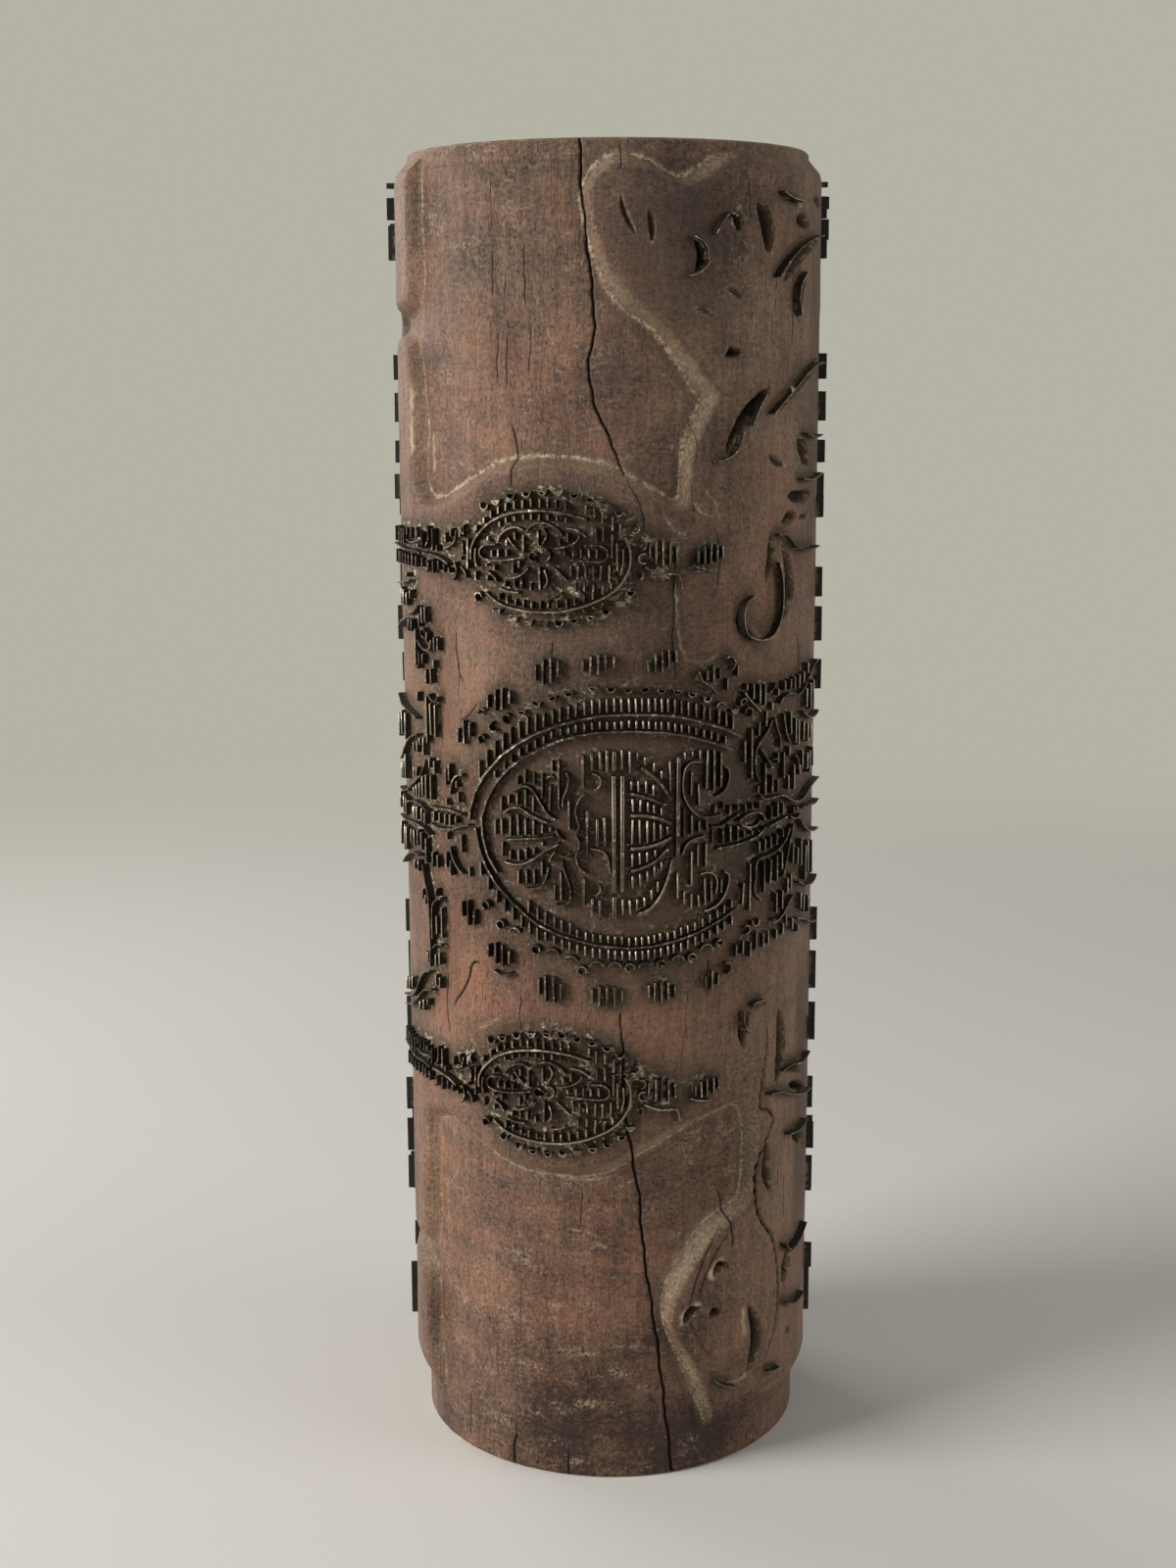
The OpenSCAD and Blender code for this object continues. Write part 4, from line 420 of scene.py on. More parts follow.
def dark_groove(skin, turn, path, half, depth, dirt_and_shade, spread, seam, wander, fade):
    """A cut line: a dent, grime and painted shade about it by a bell curve, and a thin black line of
    painted shade whose width follows a half sine from end to end, to the power fade."""
    pale_line(skin, turn, path, half, 0.0, depth)
    line = smooth_path(path, 5)
    block, x, z = patch(turn, path, 3)
    far = distance_to(x, z, line)[0]
    # grime and painted shade about the groove, and a thin black line of painted shade in it
    deepen(skin, "dirt_and_shade", block, dirt_and_shade * np.exp(-(far / spread) ** 2))
    far, along, side = distance_to(x + wander * np.sin(z * 0.7), z, line)
    draw_finely(skin, "seam", block, side * far, seam * np.sin(math.pi * along) ** fade)


def corners_and_edges(mesh):
    """A mesh's corners in millimetres, and the two corners of each edge."""
    co = np.empty(len(mesh.vertices) * 3)
    mesh.vertices.foreach_get("co", co)
    pairs = np.empty(len(mesh.edges) * 2, int)
    mesh.edges.foreach_get("vertices", pairs)
    return co.reshape(-1, 3) / MM, pairs.reshape(-1, 2)


def metal_nearness():
    """How crowded with strips each place of the skin is: points along the strips' upper edges are
    counted on the skin's grid and blurred, by a product with a bell curve in frequency space."""
    counts = np.zeros(SHAPE)
    for name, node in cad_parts.items():
        if name == "roller_body":
            continue
        co, pairs = corners_and_edges(node.data)
        out = np.hypot(co[:, 0], co[:, 1]) > GROUND_R + 1
        pairs = pairs[out[pairs].all(1)]
        t = np.linspace(0, 1, 9)[None, :, None]
        spots = (co[pairs[:, 0]][:, None] * (1 - t) + co[pairs[:, 1]][:, None] * t).reshape(-1, 3)
        turn = np.degrees(np.arctan2(spots[:, 0], -spots[:, 1]))
        col = np.round((turn + 180) / 360 * SHAPE[1]).astype(int) % SHAPE[1]
        row = np.clip(np.searchsorted(heights, spots[:, 2]), 0, SHAPE[0] - 1)
        counts[row, col] = 1
    fz, ft = np.fft.fftfreq(SHAPE[0])[:, None], np.fft.fftfreq(SHAPE[1])[None, :]
    spread = np.fft.fft2(counts)

    def blurred(rows, cols):
        curve = np.exp(-2 * math.pi ** 2 * ((rows * fz) ** 2 + (cols * ft) ** 2))
        return np.real(np.fft.ifft2(spread * curve))

    return blurred(1.1, 2.4), blurred(4.5, 9.0)


def bell(turn, z, at, up, wide, high, power=2):
    """exp of minus the two distances, each over its spread and to the power."""
    return np.exp(-((turn[None, :] - at) / wide) ** power - ((z - up) / high) ** power)


def work_the_skin():
    """Radius in millimetres and the finish masks of every place on the wood's outer face: straight
    steps between the points of the turned profile, less each cut, crack, line and unevenness."""
    z = round_z
    base = np.interp(z[:, 0], [p[0] for p in TURNED], [p[1] for p in TURNED])[:, None]
    skin = {name: np.zeros(SHAPE) for name in MASKS}
    skin["seam"] += FAR
    skin["nick"] += FAR
    skin["wave"] = ripple(38, 3)
    skin["grit"] = np.clip(0.5 + 0.6 * ripple(5, 11, 1.6, 18) + 0.35 * ripple(2.6, 12, 1.5, 18), 0, 1)
    skin["raised"] = np.broadcast_to(ease(base, COLLAR_R + 0.1, GROUND_R - 0.2), SHAPE)
    skin["radius"] = np.broadcast_to(base, SHAPE).copy()
    for side, cracks, scratches in ((0, FRONT_CRACKS, FRONT_SCRATCHES), (180, BACK_CRACKS, BACK_SCRATCHES)):
        turn = (turns - side + 180) % 360 - 180
        for outline in (UPPER_PANEL, LOWER_PANEL):
            sink_panel(skin, turn, outline)
        for hollow in GOUGES:
            cut_gouge(skin, turn, *hollow)
        dark_groove(skin, turn, EDGE_GROOVE, 0.6, 1.6, 0.75, 0.55, 0.3, 0, 0.5)
        for path in SCRIBED:
            dark_groove(skin, turn, path, 0.5, 0.55, 0.55, 0.5, 0.2, 0.2, 1)
        for path, half, strength in FRESH_CUTS:
            pale_line(skin, turn, path, half, strength, 0.5)
        for path, half, strength in scratches:
            pale_line(skin, turn, path, half, strength)
        for path, half, depth in cracks:
            open_crack(skin, turn, path, half, depth)
        for key, places in (("light", LIGHT_PATCHES), ("red", RED_PATCHES)):
            for *place, amount in places:
                skin[key] += amount * bell(turn, z, *place)
        for *place, amount in DARK_GROUND:
            deepen(skin, "dirt_and_shade", ..., amount * bell(turn, z, *place, power=6))
    hair_cracks(skin)
    for up, deep in TURNED_LINES:
        line = np.exp(-((z - up + 0.25 * skin["wave"]) / 0.55) ** 2) * np.clip(0.3 + skin["grit"], 0, 1)
        skin["radius"] -= deep * line
        deepen(skin, "dirt_and_shade", ..., 2.4 * deep * line)
    uneven = (0.10 * (1 + skin["wave"]) + 0.05 * (1 + ripple(12, 5, 2.0))
              + 0.16 * skin["floor"] * (1 + ripple(17, 8, 0.8)) + 0.05 * skin["grit"])
    skin["radius"] -= ease(z, 0.6, 4) * ease(z, LENGTH - 0.6, LENGTH - 4) * uneven
    skin["radius"] = np.minimum(skin["radius"], base)
    darken_and_crust_by_the_metal(skin)
    skin["light"] += 0.22 * skin["wave"]
    return skin


def hair_cracks(skin):
    """Short, very fine drying checks all over, upright with a slight drift."""
    chance = np.random.default_rng(21)
    for _ in range(90):
        at, low = chance.uniform(-180, 180), chance.uniform(0, 480)
        tall = chance.uniform(5, 26)
        path = [(at, low)]
        for share in (0.5, 1):
            path.append((at + chance.normal(0, 0.35), low + tall * share))
        open_crack(skin, turns, path, 0.36, chance.uniform(0.05, 0.5))


def darken_and_crust_by_the_metal(skin):
    """Darker wood where strips stand close, and a pale caked crust there, with more crust in the
    small ovals and at the left of the pattern."""
    close, wide = metal_nearness()
    deepen(skin, "dirt_and_shade", ..., np.clip(close * 2.0 + np.clip(wide * 2.0, 0, 0.5), 0, 0.66))
    ovals = sum(share * np.exp(-((round_z - up) / 30) ** 4) for up, share in ((362, 1), (160, 0.8)))
    left_edge = np.exp(-(((turns + 360) % 180 - 122) / 16) ** 2)[None, :]
    broken = ease(ripple(11, 31, 1.0, 20) + 0.9 * ripple(3.4, 32, 1.0, 20), -0.15, 0.65)
    crust = np.clip(close * 3.2, 0, 1) * broken * ease(wide, 0.17, 0.28)
    skin["crust"] = crust * (0.6 + 0.8 * ovals + 0.6 * left_edge)


def outward(points):
    """Normals of a grid that runs round the roller: the cross product of its two slopes."""
    round_ = np.roll(points, -1, 1) - np.roll(points, 1, 1)
    up = np.gradient(points, axis=0)
    normal = np.cross(round_, up)
    return normal / np.linalg.norm(normal, axis=2, keepdims=True)


def skin_mesh(name, points, masks, normals=None, closed=False):
    """A mesh over a grid of points, rows upwards and columns round, four corners to each face."""
    rows, cols = points.shape[:2]
    number = np.arange(rows * cols).reshape(rows, cols)
    right = np.roll(number, -1, 1) if closed else number[:, 1:]
    here = number if closed else number[:, :-1]
    faces = np.stack([here[:-1], right[:-1], right[1:], here[1:]], -1).reshape(-1, 4)
    mesh = bpy.data.meshes.new(name)
    mesh.vertices.add(rows * cols)
    mesh.vertices.foreach_set("co", (points.reshape(-1) * MM).astype(np.float32))
    mesh.loops.add(faces.size)
    mesh.loops.foreach_set("vertex_index", faces.reshape(-1).astype(np.int32))
    mesh.polygons.add(len(faces))
    mesh.polygons.foreach_set("loop_start", np.arange(0, faces.size, 4, dtype=np.int32))
    mesh.update(calc_edges=True)
    mesh.polygons.foreach_set("use_smooth", np.ones(len(faces), bool))
    for key, values in masks.items():
        layer = mesh.attributes.new(key, "FLOAT", "POINT")
        layer.data.foreach_set("value", values.reshape(-1).astype(np.float32))
    if normals is not None:
        mesh.normals_split_custom_set_from_vertices(normals.reshape(-1, 3).astype(np.float32))
    mesh.validate()
    piece = bpy.data.objects.new(name, mesh)
    bpy.context.collection.objects.link(piece)
    return piece


def turned_wood(finish):
    """The roller's skin as STAVES equal sheets that share their edges, with x and y as the radius
    times the sine and minus the cosine of the turn, and the core on the same columns."""
    skin = work_the_skin()
    turn = np.radians(turns)[None, :]
    points = np.stack([skin["radius"] * np.sin(turn), -skin["radius"] * np.cos(turn),
                       np.broadcast_to(round_z, SHAPE)], -1)
    normals = outward(points)
    pieces = []
    for k in range(STAVES):
        cols = np.arange(k * STAVE_COLUMNS, (k + 1) * STAVE_COLUMNS + 1) % SHAPE[1]
        masks = {key: skin[key][:, cols] for key in MASKS}
        pieces.append(skin_mesh(f"print_face_wood_{k + 1}", points[:, cols], masks, normals[:, cols]))
    pieces.append(turned_core(skin, turn))
    for piece in pieces:
        piece.data.materials.append(finish)
        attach(piece, "root")
        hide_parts("roller_body")


def turned_core(skin, turn):
    """Foot face, bore and head face in one sheet: the radius runs from the skin's edge in to the
    bore, up its wall and out again. Small radial splits dent the end faces."""
    step = np.linspace(0, 1, CORE_RINGS)[:, None]
    edge_low, edge_high = skin["radius"][:1], skin["radius"][-1:]
    mouth = BORE_R + 1
    wall_z = np.concatenate([[1.0], np.linspace(20, LENGTH - 20, 14), [LENGTH - 1]])
    radius = np.vstack([edge_low + (mouth - edge_low) * step, np.full((len(wall_z), SHAPE[1]), BORE_R),
                        mouth + (edge_high - mouth) * step])
    z = np.concatenate([np.zeros(CORE_RINGS), wall_z, np.full(CORE_RINGS, LENGTH)])
    z = z[:, None] * np.ones((1, SHAPE[1]))

    # splits: turn, the two radii between which each runs, half width; two of a face meet long cracks
    chance = np.random.default_rng(7)
    crack_and_hollow_shade = np.zeros_like(radius)
    foot, head = slice(0, CORE_RINGS), slice(-CORE_RINGS, None)
    for face, lines in ((foot, [(19.3, 40, 77, 0.75), (-162, 52, 77, 0.75)]),
                        (head, [(-7.4, 34, 77, 0.75), (-168, 50, 77, 0.75)])):
        for _ in range(16):
            at, near, far = chance.uniform(-180, 180), chance.uniform(34, 55), chance.uniform(58, 77)
            lines.append((at, near, far, 0.35))
        for at, near, far, wide in lines:
            off = (turns - at - 0.02 * (radius[face] - 50) + 180) % 360 - 180
            away = np.abs(off) * radius[face] * math.pi / 180
            line = 1 - ease(away, wide * 0.6, wide * 1.6)
            line *= ease(radius[face], near, near + 6) * (1 - ease(radius[face], far, far + 3))
            crack_and_hollow_shade[face] = np.maximum(crack_and_hollow_shade[face], line)
    z[1:CORE_RINGS - 1] += 0.9 * crack_and_hollow_shade[1:CORE_RINGS - 1]
    z[1 - CORE_RINGS:-1] -= 0.9 * crack_and_hollow_shade[1 - CORE_RINGS:-1]

    points = np.stack([radius * np.sin(turn), -radius * np.cos(turn), z], -1)
    masks = {key: np.zeros_like(radius) for key in MASKS}
    for key, value in (("pale_deposit_and_highlight", 0.1), ("dirt_and_shade", 0.12), ("light", -0.1), ("seam", FAR), ("nick", FAR)):
        masks[key] += value
    masks["dirt_and_shade"][CORE_RINGS:-CORE_RINGS] += 0.5
    masks["crack_and_hollow_shade"] = crack_and_hollow_shade
    return skin_mesh("end_faces_and_bore", points, masks, closed=True)


# metal strips

def strip_numbers(count, pairs):
    """One number for each separate strip: every corner takes the least number among its
    neighbours until none changes."""
    number = np.arange(count)
    while True:
        least = np.minimum(number[pairs[:, 0]], number[pairs[:, 1]])
        new = number.copy()
        np.minimum.at(new, pairs[:, 0], least)
        np.minimum.at(new, pairs[:, 1], least)
        new = new[new]
        if (new == number).all():
            return np.unique(number, return_inverse=True)[1]
        number = new


def driven_strips(node, seed, finish):
    """A motif's strips as they are driven by hand. Each strip keeps its place; its head drops by a
    little, leans by up to a third of a millimetre and twists about its middle, and its corners are
    worn round. Upper corners are first laid on the true print radius."""
    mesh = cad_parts[node].data.copy()
    mesh.materials.clear()
    work = bmesh.new()
    work.from_mesh(mesh)
    bmesh.ops.remove_doubles(work, verts=work.verts, dist=0.002 * MM)
    bmesh.ops.dissolve_limit(work, angle_limit=math.radians(1.2), verts=work.verts, edges=work.edges)
    work.to_mesh(mesh)
    work.free()
    co, pairs = corners_and_edges(mesh)
    count = len(co)
    strip = strip_numbers(count, pairs)
    strips = strip.max() + 1
    members = np.bincount(strip).astype(float)
    radius = np.hypot(co[:, 0], co[:, 1])
    upper = radius > GROUND_R + 1
    turn = np.arctan2(co[:, 0], -co[:, 1])
    z_mid = np.bincount(strip, co[:, 2]) / members
    high, low = np.full(strips, -1e9), np.full(strips, 1e9)
    np.maximum.at(high, strip, co[:, 2])
    np.minimum.at(low, strip, co[:, 2])

    # each strip's own drop, lean, twist and slant: long strips and curved ones vary less
    chance = np.random.default_rng(seed)
    curved = members > 30
    small = np.clip(9 / np.maximum(high - low, 3), 0.15, 1) * np.where(curved, 0.35, 1)
    drop = 0.05 + np.abs(chance.normal(0, 0.22, strips))
    drop = drop + np.where(chance.random(strips) < 0.07, chance.uniform(0.3, 1.0, strips), 0)
    drop = np.minimum(drop, np.where(curved, 0.22, 1.3))
    lean = chance.normal(0, 0.13, strips) * small
    lean_up = chance.normal(0, 0.12, strips) * small
    twist = chance.normal(0, 0.022, strips) * small
    slant = chance.normal(0, 0.02, strips) * small

    # heads a little thinner than feet: upper corners move in, against the way that their sides face
    facing = np.empty(count * 3)
    mesh.vertices.foreach_get("normal", facing)
    facing = facing.reshape(-1, 3)
    out_way = np.stack([np.sin(turn), -np.cos(turn), np.zeros(count)], -1)
    facing -= out_way * (facing * out_way).sum(1, keepdims=True)
    facing /= np.maximum(np.linalg.norm(facing, axis=1, keepdims=True), 1e-6)
    worn_in, tone_range = (0.1, 0.2) if "bars" in node else (0.26, 1)
    co = co - np.where(upper, worn_in, 0)[:, None] * facing

    turn = np.arctan2(co[:, 0], -co[:, 1])
    up_z = co[:, 2] - z_mid[strip]
    turn_new = turn + np.where(upper, lean[strip], 0) / STRIP_R + twist[strip] * up_z / STRIP_R
    head = STRIP_R - drop[strip] - np.abs(slant[strip] * up_z)
    wavy = 0.045 * np.sin(co[:, 2] * 0.8 + strip) + 0.035 * np.sin(np.degrees(turn) * 1.1)
    radius_new = np.where(upper, np.minimum(head + wavy, STRIP_R), radius)
    z_new = co[:, 2] + np.where(upper, lean_up[strip], 0)
    out = np.stack([radius_new * np.sin(turn_new), -radius_new * np.cos(turn_new), z_new], -1) * MM
    mesh.vertices.foreach_set("co", out.reshape(-1).astype(np.float32))
    layer = mesh.attributes.new("own_tone", "FLOAT", "POINT")
    layer.data.foreach_set("value", (chance.random(strips)[strip] * tone_range).astype(np.float32))
    mesh.polygons.foreach_set("use_smooth", np.ones(len(mesh.polygons), bool))
    mesh.set_sharp_from_angle(angle=math.radians(34))
    mesh.update()
    piece = bpy.data.objects.new(node + "_strips", mesh)
    bpy.context.collection.objects.link(piece)
    worn = piece.modifiers.new("worn corners", "BEVEL")
    worn.width = 0.2 * MM
    worn.segments = 1
    worn.limit_method = "ANGLE"
    worn.angle_limit = math.radians(50)
    worn.use_clamp_overlap = True
    piece.data.materials.append(finish)
    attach(piece, "root")
    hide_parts(node)


# finishes

class Shade:
    """One value in a material. Arithmetic on it adds the Math node that it stands for."""

    def __init__(self, tree, socket=None):
        self.tree, self.socket = tree, socket

    def add(self, kind, settings=None, inputs=None, out=0):
        """Adds a node of a type: its settings first, then its sockets' values or links."""
        node = self.tree.nodes.new(kind)
        for key, value in (settings or {}).items():
            setattr(node, key, value)
        for key, value in (inputs or {}).items():
            if isinstance(value, Shade):
                self.tree.links.new(value.socket, node.inputs[key])
            else:
                node.inputs[key].default_value = value
        return Shade(self.tree, node.outputs[out])

    def parts(self):
        """The x, y and z parts of a place or a direction."""
        node = self.add("ShaderNodeSeparateXYZ", {}, {0: self}).socket.node
        return [Shade(self.tree, out) for out in node.outputs]

    def feed(self, node, name):
        """Links this value to a socket of a shader or of an output."""
        self.tree.links.new(self.socket, node.inputs[name])

    def maths(self, operation, *values, clamp=False):
        """A Math node over the values."""
        settings = {"operation": operation, "use_clamp": clamp}
        return self.add("ShaderNodeMath", settings, dict(enumerate(values)))

    def __add__(self, other):
        return self.maths("ADD", self, other)

    __radd__ = __add__

    def __sub__(self, other):
        return self.maths("SUBTRACT", self, other)

    def __rsub__(self, other):
        return self.maths("SUBTRACT", other, self)

    def __mul__(self, other):
        return self.maths("MULTIPLY", self, other)

    __rmul__ = __mul__

    def __truediv__(self, other):
        return self.maths("DIVIDE", self, other)

    def __rtruediv__(self, other):
        return self.maths("DIVIDE", other, self)

    def __pow__(self, other):
        return self.maths("POWER", self, other)

    def __rpow__(self, other):
        return self.maths("POWER", other, self)

    def held(self):
        """This value kept between 0 and 1."""
        return self.maths("ADD", self, 0.0, clamp=True)

    def ease(self, low, high):
        """0 at low, 1 at high, smooth between."""
        return self.add("ShaderNodeMapRange", {"interpolation_type": "SMOOTHSTEP"},
                        {"Value": self, "From Min": low, "From Max": high})

    def tint(self, low, high):
        """From the colour low to the colour high as this value goes from 0 to 1."""
        low, high = (end if isinstance(end, Shade) else (*end, 1) for end in (low, high))
        return self.add("ShaderNodeMix", {"data_type": "RGBA"}, {0: self, 6: low, 7: high}, out=2)

    def grain(self, scale, detail=2.0, rough=0.5, stretch=(1, 1, 1)):
        """Noise through the wood or metal at this place, drawn out by stretch."""
        shrink = tuple(1 / s for s in stretch)
        place = self.add("ShaderNodeVectorMath", {"operation": "MULTIPLY"}, {0: self, 1: shrink})
        return self.add("ShaderNodeTexNoise", {},
                        {"Vector": place, "Scale": scale, "Detail": detail, "Roughness": rough})


def paint(code):
    """A colour written as six hex digits, as linear light."""
    parts = [int(code[i:i + 2], 16) / 255 for i in (0, 2, 4)]
    return tuple(c / 12.92 if c <= 0.04045 else ((c + 0.055) / 1.055) ** 2.4 for c in parts)


def new_finish(name):
    """A new material, its shader, and the place on the piece that its textures read."""
    material = bpy.data.materials.new(name)
    material.use_nodes = True
    tree = material.node_tree
    place = Shade(tree).add("ShaderNodeTexCoord", out="Object")
    return material, tree.nodes["Principled BSDF"], place


def mask(place, name):
    """What the mesh stores under a name."""
    return place.add("ShaderNodeAttribute", {"attribute_name": name}, out="Fac")


def old_wood():
    """Oiled, handled hardwood with settled deposits: broad patches of tone, fibres along the roller,
    short pores, rubbed scuffs, darker wood by the metal, grime and painted shade in gouge hollows,
    grooves and at panel edges, pale deposits in the recesses with a painted highlight on the panel
    walls, and black painted shade in the cracks."""
    material, shader, place = new_finish("old_wood")
    pale_deposit_and_highlight, dirt_and_shade, crack_and_hollow_shade, bare, floor, light, red, crust, seam, nick = (mask(place, name) for name in MASKS)
    blotch = place.grain(22, 3, 0.6)
    smear = place.grain(75, 5, 0.68, (1.6, 1.6, 1))
    band = place.grain(100, 4, 0.62, (5, 5, 0.7))
    wrinkle = place.grain(700, 5, 0.8, (1.5, 1.5, 1))
    waved = place.add("ShaderNodeVectorMath", {"operation": "ADD"}, {0: place, 1: smear * 0.0012})
    fibre = waved.grain(900, 3, 0.6, (1, 1, 10))
    streak = place.grain(260, 3, 0.55, (1, 1, 8))
    pore = place.grain(2000, 2, 0.5, (1, 1, 5))
    speck = place.grain(800, 4, 0.74)

    # the wood itself
    broad = light * 0.5 + (blotch - 0.5) * 0.65 + (smear - 0.5) * 0.7 + (band - 0.5) * (0.25 + floor * 0.45)
    small = (wrinkle - 0.5) * 2.0 + (speck - 0.5) * 1.3 + (streak - 0.5) * 0.5
    tone = (0.5 + broad + small).held()
    plain = tone.tint(paint("301c12"), paint("957861"))
    ruddy = tone.tint(paint("3c1c12"), paint("a06a50"))
    colour = (0.25 + red * 0.6 + (smear - 0.5) * 1.3 + (band - 0.5) * 0.8).held().tint(plain, ruddy)
    lines = (streak - 0.5) * 0.45 + (fibre - 0.5) * 0.9
    darker, lighter = (
        colour.add("ShaderNodeMix", {"data_type": "RGBA", "blend_type": "MULTIPLY"},
                   {0: 1.0, 6: colour, 7: (*level, 1)}, out=2)
        for level in ((0.56, 0.52, 0.49), (1.38, 1.38, 1.36)))
    colour = (0.5 + lines).held().tint(darker, lighter)

    # end grain: growth rings about a pith beside the bore, and rays, on the foot and head faces
    x, y, z = (part * (1 / MM) for part in place.parts())
    sawn = (z.ease(LENGTH - 1.1, LENGTH - 0.4) + (1 - z.ease(0.4, 1.1))).held()
    from_pith = ((x - 9) * (x - 9) + (y + 6) * (y + 6)) ** 0.5 + (blotch - 0.5) * 16 + (smear - 0.5) * 3
    years = from_pith * 1.9
    ring = years.maths("SINE", years).ease(-0.6, 1.0)
    ray = place.grain(260, 3, 0.6, (1, 8, 1)).ease(0.4, 0.7)
    ends = (0.35 + ring * 0.35 + ray * 0.25 + (speck - 0.5) * 1.2).held()
    colour = (sawn * 0.85).tint(colour, ends.tint(paint("4a3021"), paint("a98a6c")))

    # pores, scuffs, grime and painted shade, and what has settled on the wood, with a painted highlight on
    # the panel walls
    pores = pore.ease(0.58, 0.72) * 0.55
    colour = pores.tint(colour, paint("1c120e"))
    scuff = place.grain(120, 6, 0.78, (2.2, 2.2, 1)).ease(0.52, 0.65)
    scuff = scuff * speck.ease(0.45, 0.6) * (0.4 + floor * 0.5)
    colour = scuff.held().tint(colour, paint("a89178"))
    # grime and painted shade: darker in gouge hollows, along grooves and panel edges, and where strips stand
    # close
    dirt_and_shade_amount = (dirt_and_shade * (1.15 + (speck - 0.5) * 1.2 + (smear - 0.5) * 1.2)).held()
    dirt_and_shade_colour = (0.5 + (wrinkle - 0.5) * 2.2).held().tint(paint("32251a"), paint("5c4732"))
    colour = dirt_and_shade_amount.tint(colour, dirt_and_shade.ease(0.66, 0.95).tint(dirt_and_shade_colour, paint("17100b")))
    # pale deposits, with a painted highlight on the middle of the panel walls
    deposit_and_highlight_amount = (pale_deposit_and_highlight * (0.35 + speck * 1.1)).held() * 0.85
    deposit_and_highlight_colour = (0.5 + (speck - 0.5) * 2.4).held().tint(paint("75644d"), paint("c6b596"))
    colour = deposit_and_highlight_amount.tint(colour, deposit_and_highlight_colour)
    caked = (crust * (wrinkle.ease(0.44, 0.58) * 1.2 + (speck - 0.5) * 0.8)).held()
    paste = (0.5 + (speck - 0.5) * 3).held().tint(paint("8c7453"), paint("f2e4c6"))
    colour = caked.tint(colour, paste)

    # bare cuts, gritty scored lines, and black painted shade in cracks, gouge hollows and grooves
    colour = (bare * (0.75 + speck * 0.6)).held().tint(colour, paint("d8c6a8"))
    scored = 1 - nick.maths("ABSOLUTE", nick).ease(0.3, 1.5)
    gritty = (wrinkle * 0.6 + speck * 0.4).ease(0.44, 0.56)
    colour = (scored * gritty * 0.95).held().tint(colour, paint("c9b595"))
    line = 1 - seam.maths("ABSOLUTE", seam).ease(0.75, 1.25)
    black = (line + crack_and_hollow_shade * 0.8).held()
    black.tint(colour, paint("0b0706")).feed(shader, "Base Color")

    rough = 0.46 + (speck - 0.5) * 0.4 + deposit_and_highlight_amount * 0.35 + dirt_and_shade_amount * 0.15 + caked * 0.3 - blotch * 0.06
    (rough + black * 0.3).held().feed(shader, "Roughness")
    height = (lines * 1.1 + sawn * ring * 0.8 - pores * 1.2 + speck * 0.5 + wrinkle * 1.6
              + (smear - 0.5) * 0.6 + deposit_and_highlight_amount * speck * 1.4 + caked * 2 - line * 2)
    bump = {"Strength": 0.9, "Distance": 0.00045, "Height": height}
    place.add("ShaderNodeBump", {}, bump).feed(shader, "Normal")
    shader.inputs["Specular IOR Level"].default_value = 0.42
    return material


def dark_strip():
    """Oxidised strip metal: almost black brown sides, lighter rubbed heads with paler edges that are
    partly worn and partly a painted highlight, painted glints on the heads, and a pale layer that has
    settled where the strips stand in the wood."""
    material, shader, place = new_finish("dark_strip_metal")
    own = mask(place, "own_tone")
    x, y, _ = place.parts()
    side_x, side_y, _ = place.add("ShaderNodeTexCoord", out="Normal").parts()
    radius = (x * x + y * y) ** 0.5 * (1 / MM)
    facing = (x * side_x + y * side_y) / radius * (1 / MM)
    head = facing.ease(0.3, 0.6)
    edge = head * (1 - facing.ease(0.9, 0.985))
    foot = 1 - radius.ease(GROUND_R - 0.15, GROUND_R + 1.65)
    mottle = place.grain(380, 4, 0.7)
    fine = place.grain(1600, 3, 0.6)
    broad = place.grain(28, 3, 0.6)
    body = (0.2 + own * 0.45 + (mottle - 0.5) * 0.8).held().tint(paint("0e0a07"), paint("2a2018"))
    worn = (0.2 + own * 0.5 + (mottle - 0.5) * 1.6 + (broad - 0.5) * 1.6).held()
    worn = worn.tint(paint("3b2b21"), paint("a89680"))
    # painted glints: small bright spots on the strips' heads
    worn = (mottle * fine).ease(0.3, 0.36).tint(worn, paint("e2d9c8"))
    # paler head edges: partly worn metal and partly a painted highlight
    worn = (edge * (0.25 + broad.ease(0.4, 0.6) * 0.75)).held().tint(worn, paint("d9ccb6"))
    rub = head * (0.6 + (fine - 0.5) * 1.2 + own * 0.3).held()
    settled = (foot * broad.ease(0.42, 0.62) * mottle.ease(0.42, 0.6) * 0.75).held()
    settled.tint(rub.tint(body, worn), paint("a8926c")).feed(shader, "Base Color")
    (0.25 + rub * 0.5 - settled * 0.3).held().feed(shader, "Metallic")
    (0.6 - rub * 0.22 + (mottle - 0.5) * 0.3 + settled * 0.3).held().feed(shader, "Roughness")
    bump = {"Strength": 0.5, "Distance": 0.00012, "Height": mottle + fine * 0.5}
    place.add("ShaderNodeBump", {}, bump).feed(shader, "Normal")
    return material


def pale_floor():
    """A plain pale ground that takes the shadow and fades into the background further out."""
    material, shader, place = new_finish("pale_floor")
    length = place.add("ShaderNodeVectorMath", {"operation": "LENGTH"}, {0: place}, out=1)
    weave = place.grain(700, 3, 0.6)
    colour = (0.5 + (weave - 0.5) * 0.6).held().tint(paint("d4d1cb"), paint("e8e5df"))
    colour.feed(shader, "Base Color")
    shader.inputs["Roughness"].default_value = 0.9
    solid = Shade(place.tree, shader.outputs[0])
    clear = place.add("ShaderNodeBsdfTransparent")
    faded = place.add("ShaderNodeMixShader", {}, {0: length.ease(0.55, 1.5), 1: solid, 2: clear})
    faded.feed(place.tree.nodes["Material Output"], "Surface")
    return material


# camera and light

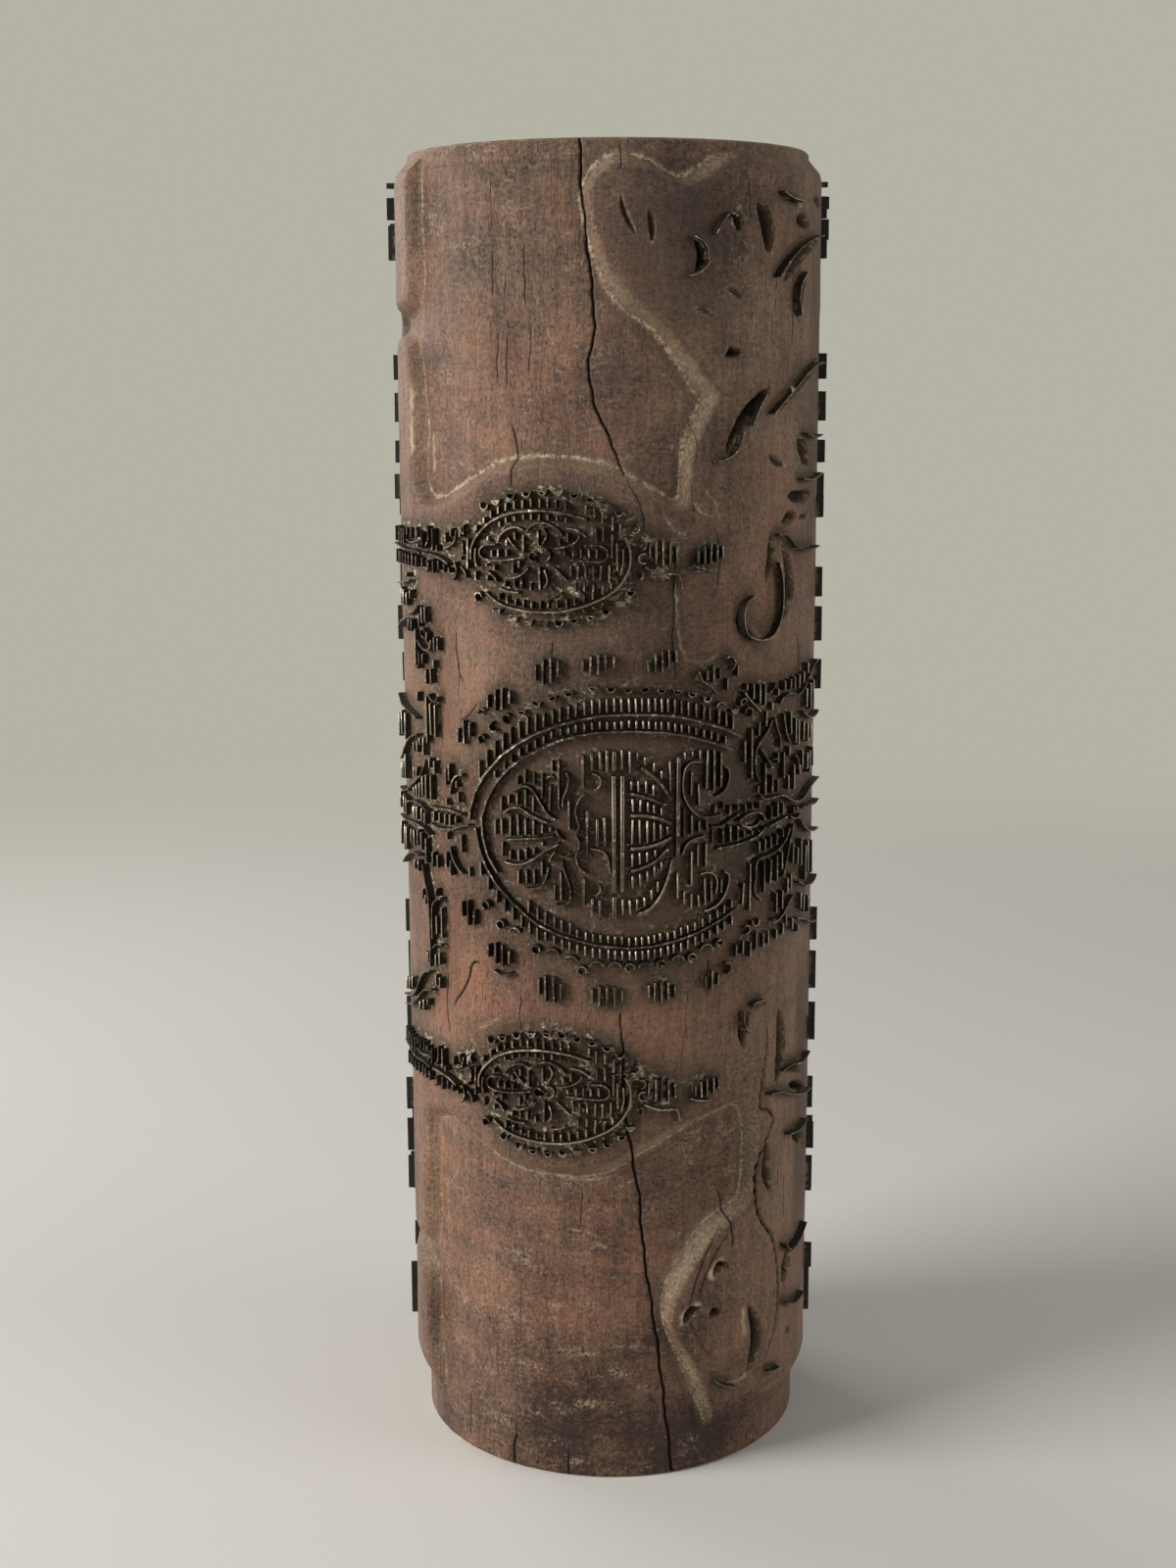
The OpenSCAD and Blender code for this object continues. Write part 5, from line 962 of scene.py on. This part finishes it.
def set_camera():
    """Photograph's view: 49.4 mm lens, 0.853 m in front of the axis, 0.435 m up, 11.4 degrees down."""
    camera = bpy.data.objects.new("camera", bpy.data.cameras.new("camera"))
    camera.data.lens = 49.41
    camera.data.sensor_width = 36
    camera.data.sensor_fit = "AUTO"
    camera.data.clip_start = 0.01
    aside, down, roll = 0.0119, 0.19845, -0.00445
    turn = (Matrix.Rotation(aside, 4, "Z") @ Matrix.Rotation(math.pi / 2 - down, 4, "X")
            @ Matrix.Rotation(roll, 4, "Z"))
    camera.matrix_world = Matrix.Translation((0.0016, -0.8534, 0.4350)) @ turn
    bpy.context.collection.objects.link(camera)
    bpy.context.scene.camera = camera


def soft_box(name, at, aim_height, size, power, colour):
    """A square lamp that faces the roller's axis at a height."""
    lamp = bpy.data.lights.new(name, "AREA")
    lamp.shape = "SQUARE"
    lamp.size, lamp.energy, lamp.color = size, power, colour
    holder = bpy.data.objects.new(name, lamp)
    holder.location = at
    way = Vector((0, 0, aim_height)) - Vector(at)
    holder.rotation_euler = way.to_track_quat("-Z", "Y").to_euler()
    bpy.context.collection.objects.link(holder)


def set_studio():
    """Soft lamps left, right and behind, a plain backdrop for the camera, and an even glow that
    only lights the pieces."""
    soft_box("window_side", (-1.92, -0.744, 1.09), 0.27, 1.2, 53, (1.0, 0.985, 0.96))
    soft_box("fill_side", (1.5, -0.5, 0.8), 0.25, 1.0, 8, (1.0, 0.985, 0.97))
    soft_box("behind", (-1.55, 1.5, 1.1), 0.25, 1.4, 16, (1.0, 0.985, 0.97))
    world = bpy.data.worlds.new("studio")
    bpy.context.scene.world = world
    world.use_nodes = True
    tree = world.node_tree
    tree.nodes["Background"].inputs["Color"].default_value = (*paint("b4b3a6"), 1)
    tree.nodes["Background"].inputs["Strength"].default_value = 1.0
    backdrop = Shade(tree, tree.nodes["Background"].outputs[0])
    glow = backdrop.add("ShaderNodeBackground", {}, {"Color": (1.0, 0.98, 0.95, 1), "Strength": 0.16})
    rays = backdrop.add("ShaderNodeLightPath").socket.node
    seen, through, mirrored = (
        Shade(tree, rays.outputs[f"Is {kind} Ray"]) for kind in ("Camera", "Transmission", "Glossy"))
    shown = (seen + through + mirrored * 0.6).held()
    light = backdrop.add("ShaderNodeMixShader", {}, {0: shown, 1: glow, 2: backdrop})
    light.feed(tree.nodes["World Output"], "Surface")


def lay_floor():
    """A flat disc: radius times the cosine and sine of the turn, at the foot's height."""
    ring = np.concatenate([[0.0], np.geomspace(0.05, 1.6, 14)])
    around = np.linspace(0, 2 * math.pi, 64, endpoint=False)
    x, y = ring[:, None] * np.cos(around), ring[:, None] * np.sin(around)
    points = np.stack([x, y, np.zeros_like(x)], -1) / MM
    floor = skin_mesh("floor", points[::-1], {}, closed=True)
    floor.data.materials.append(pale_floor())
    work = bmesh.new()
    work.from_mesh(floor.data)
    bmesh.ops.remove_doubles(work, verts=work.verts, dist=0.01 * MM)
    work.to_mesh(floor.data)
    work.free()


# the whole roller

set_camera()
set_studio()
lay_floor()
turned_wood(old_wood())
strip_finish = dark_strip()
for order, name in enumerate(sorted(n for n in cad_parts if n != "roller_body")):
    driven_strips(name, 100 + order, strip_finish)

bpy.context.scene.view_settings.view_transform = "Standard"
bpy.context.view_layer.update()
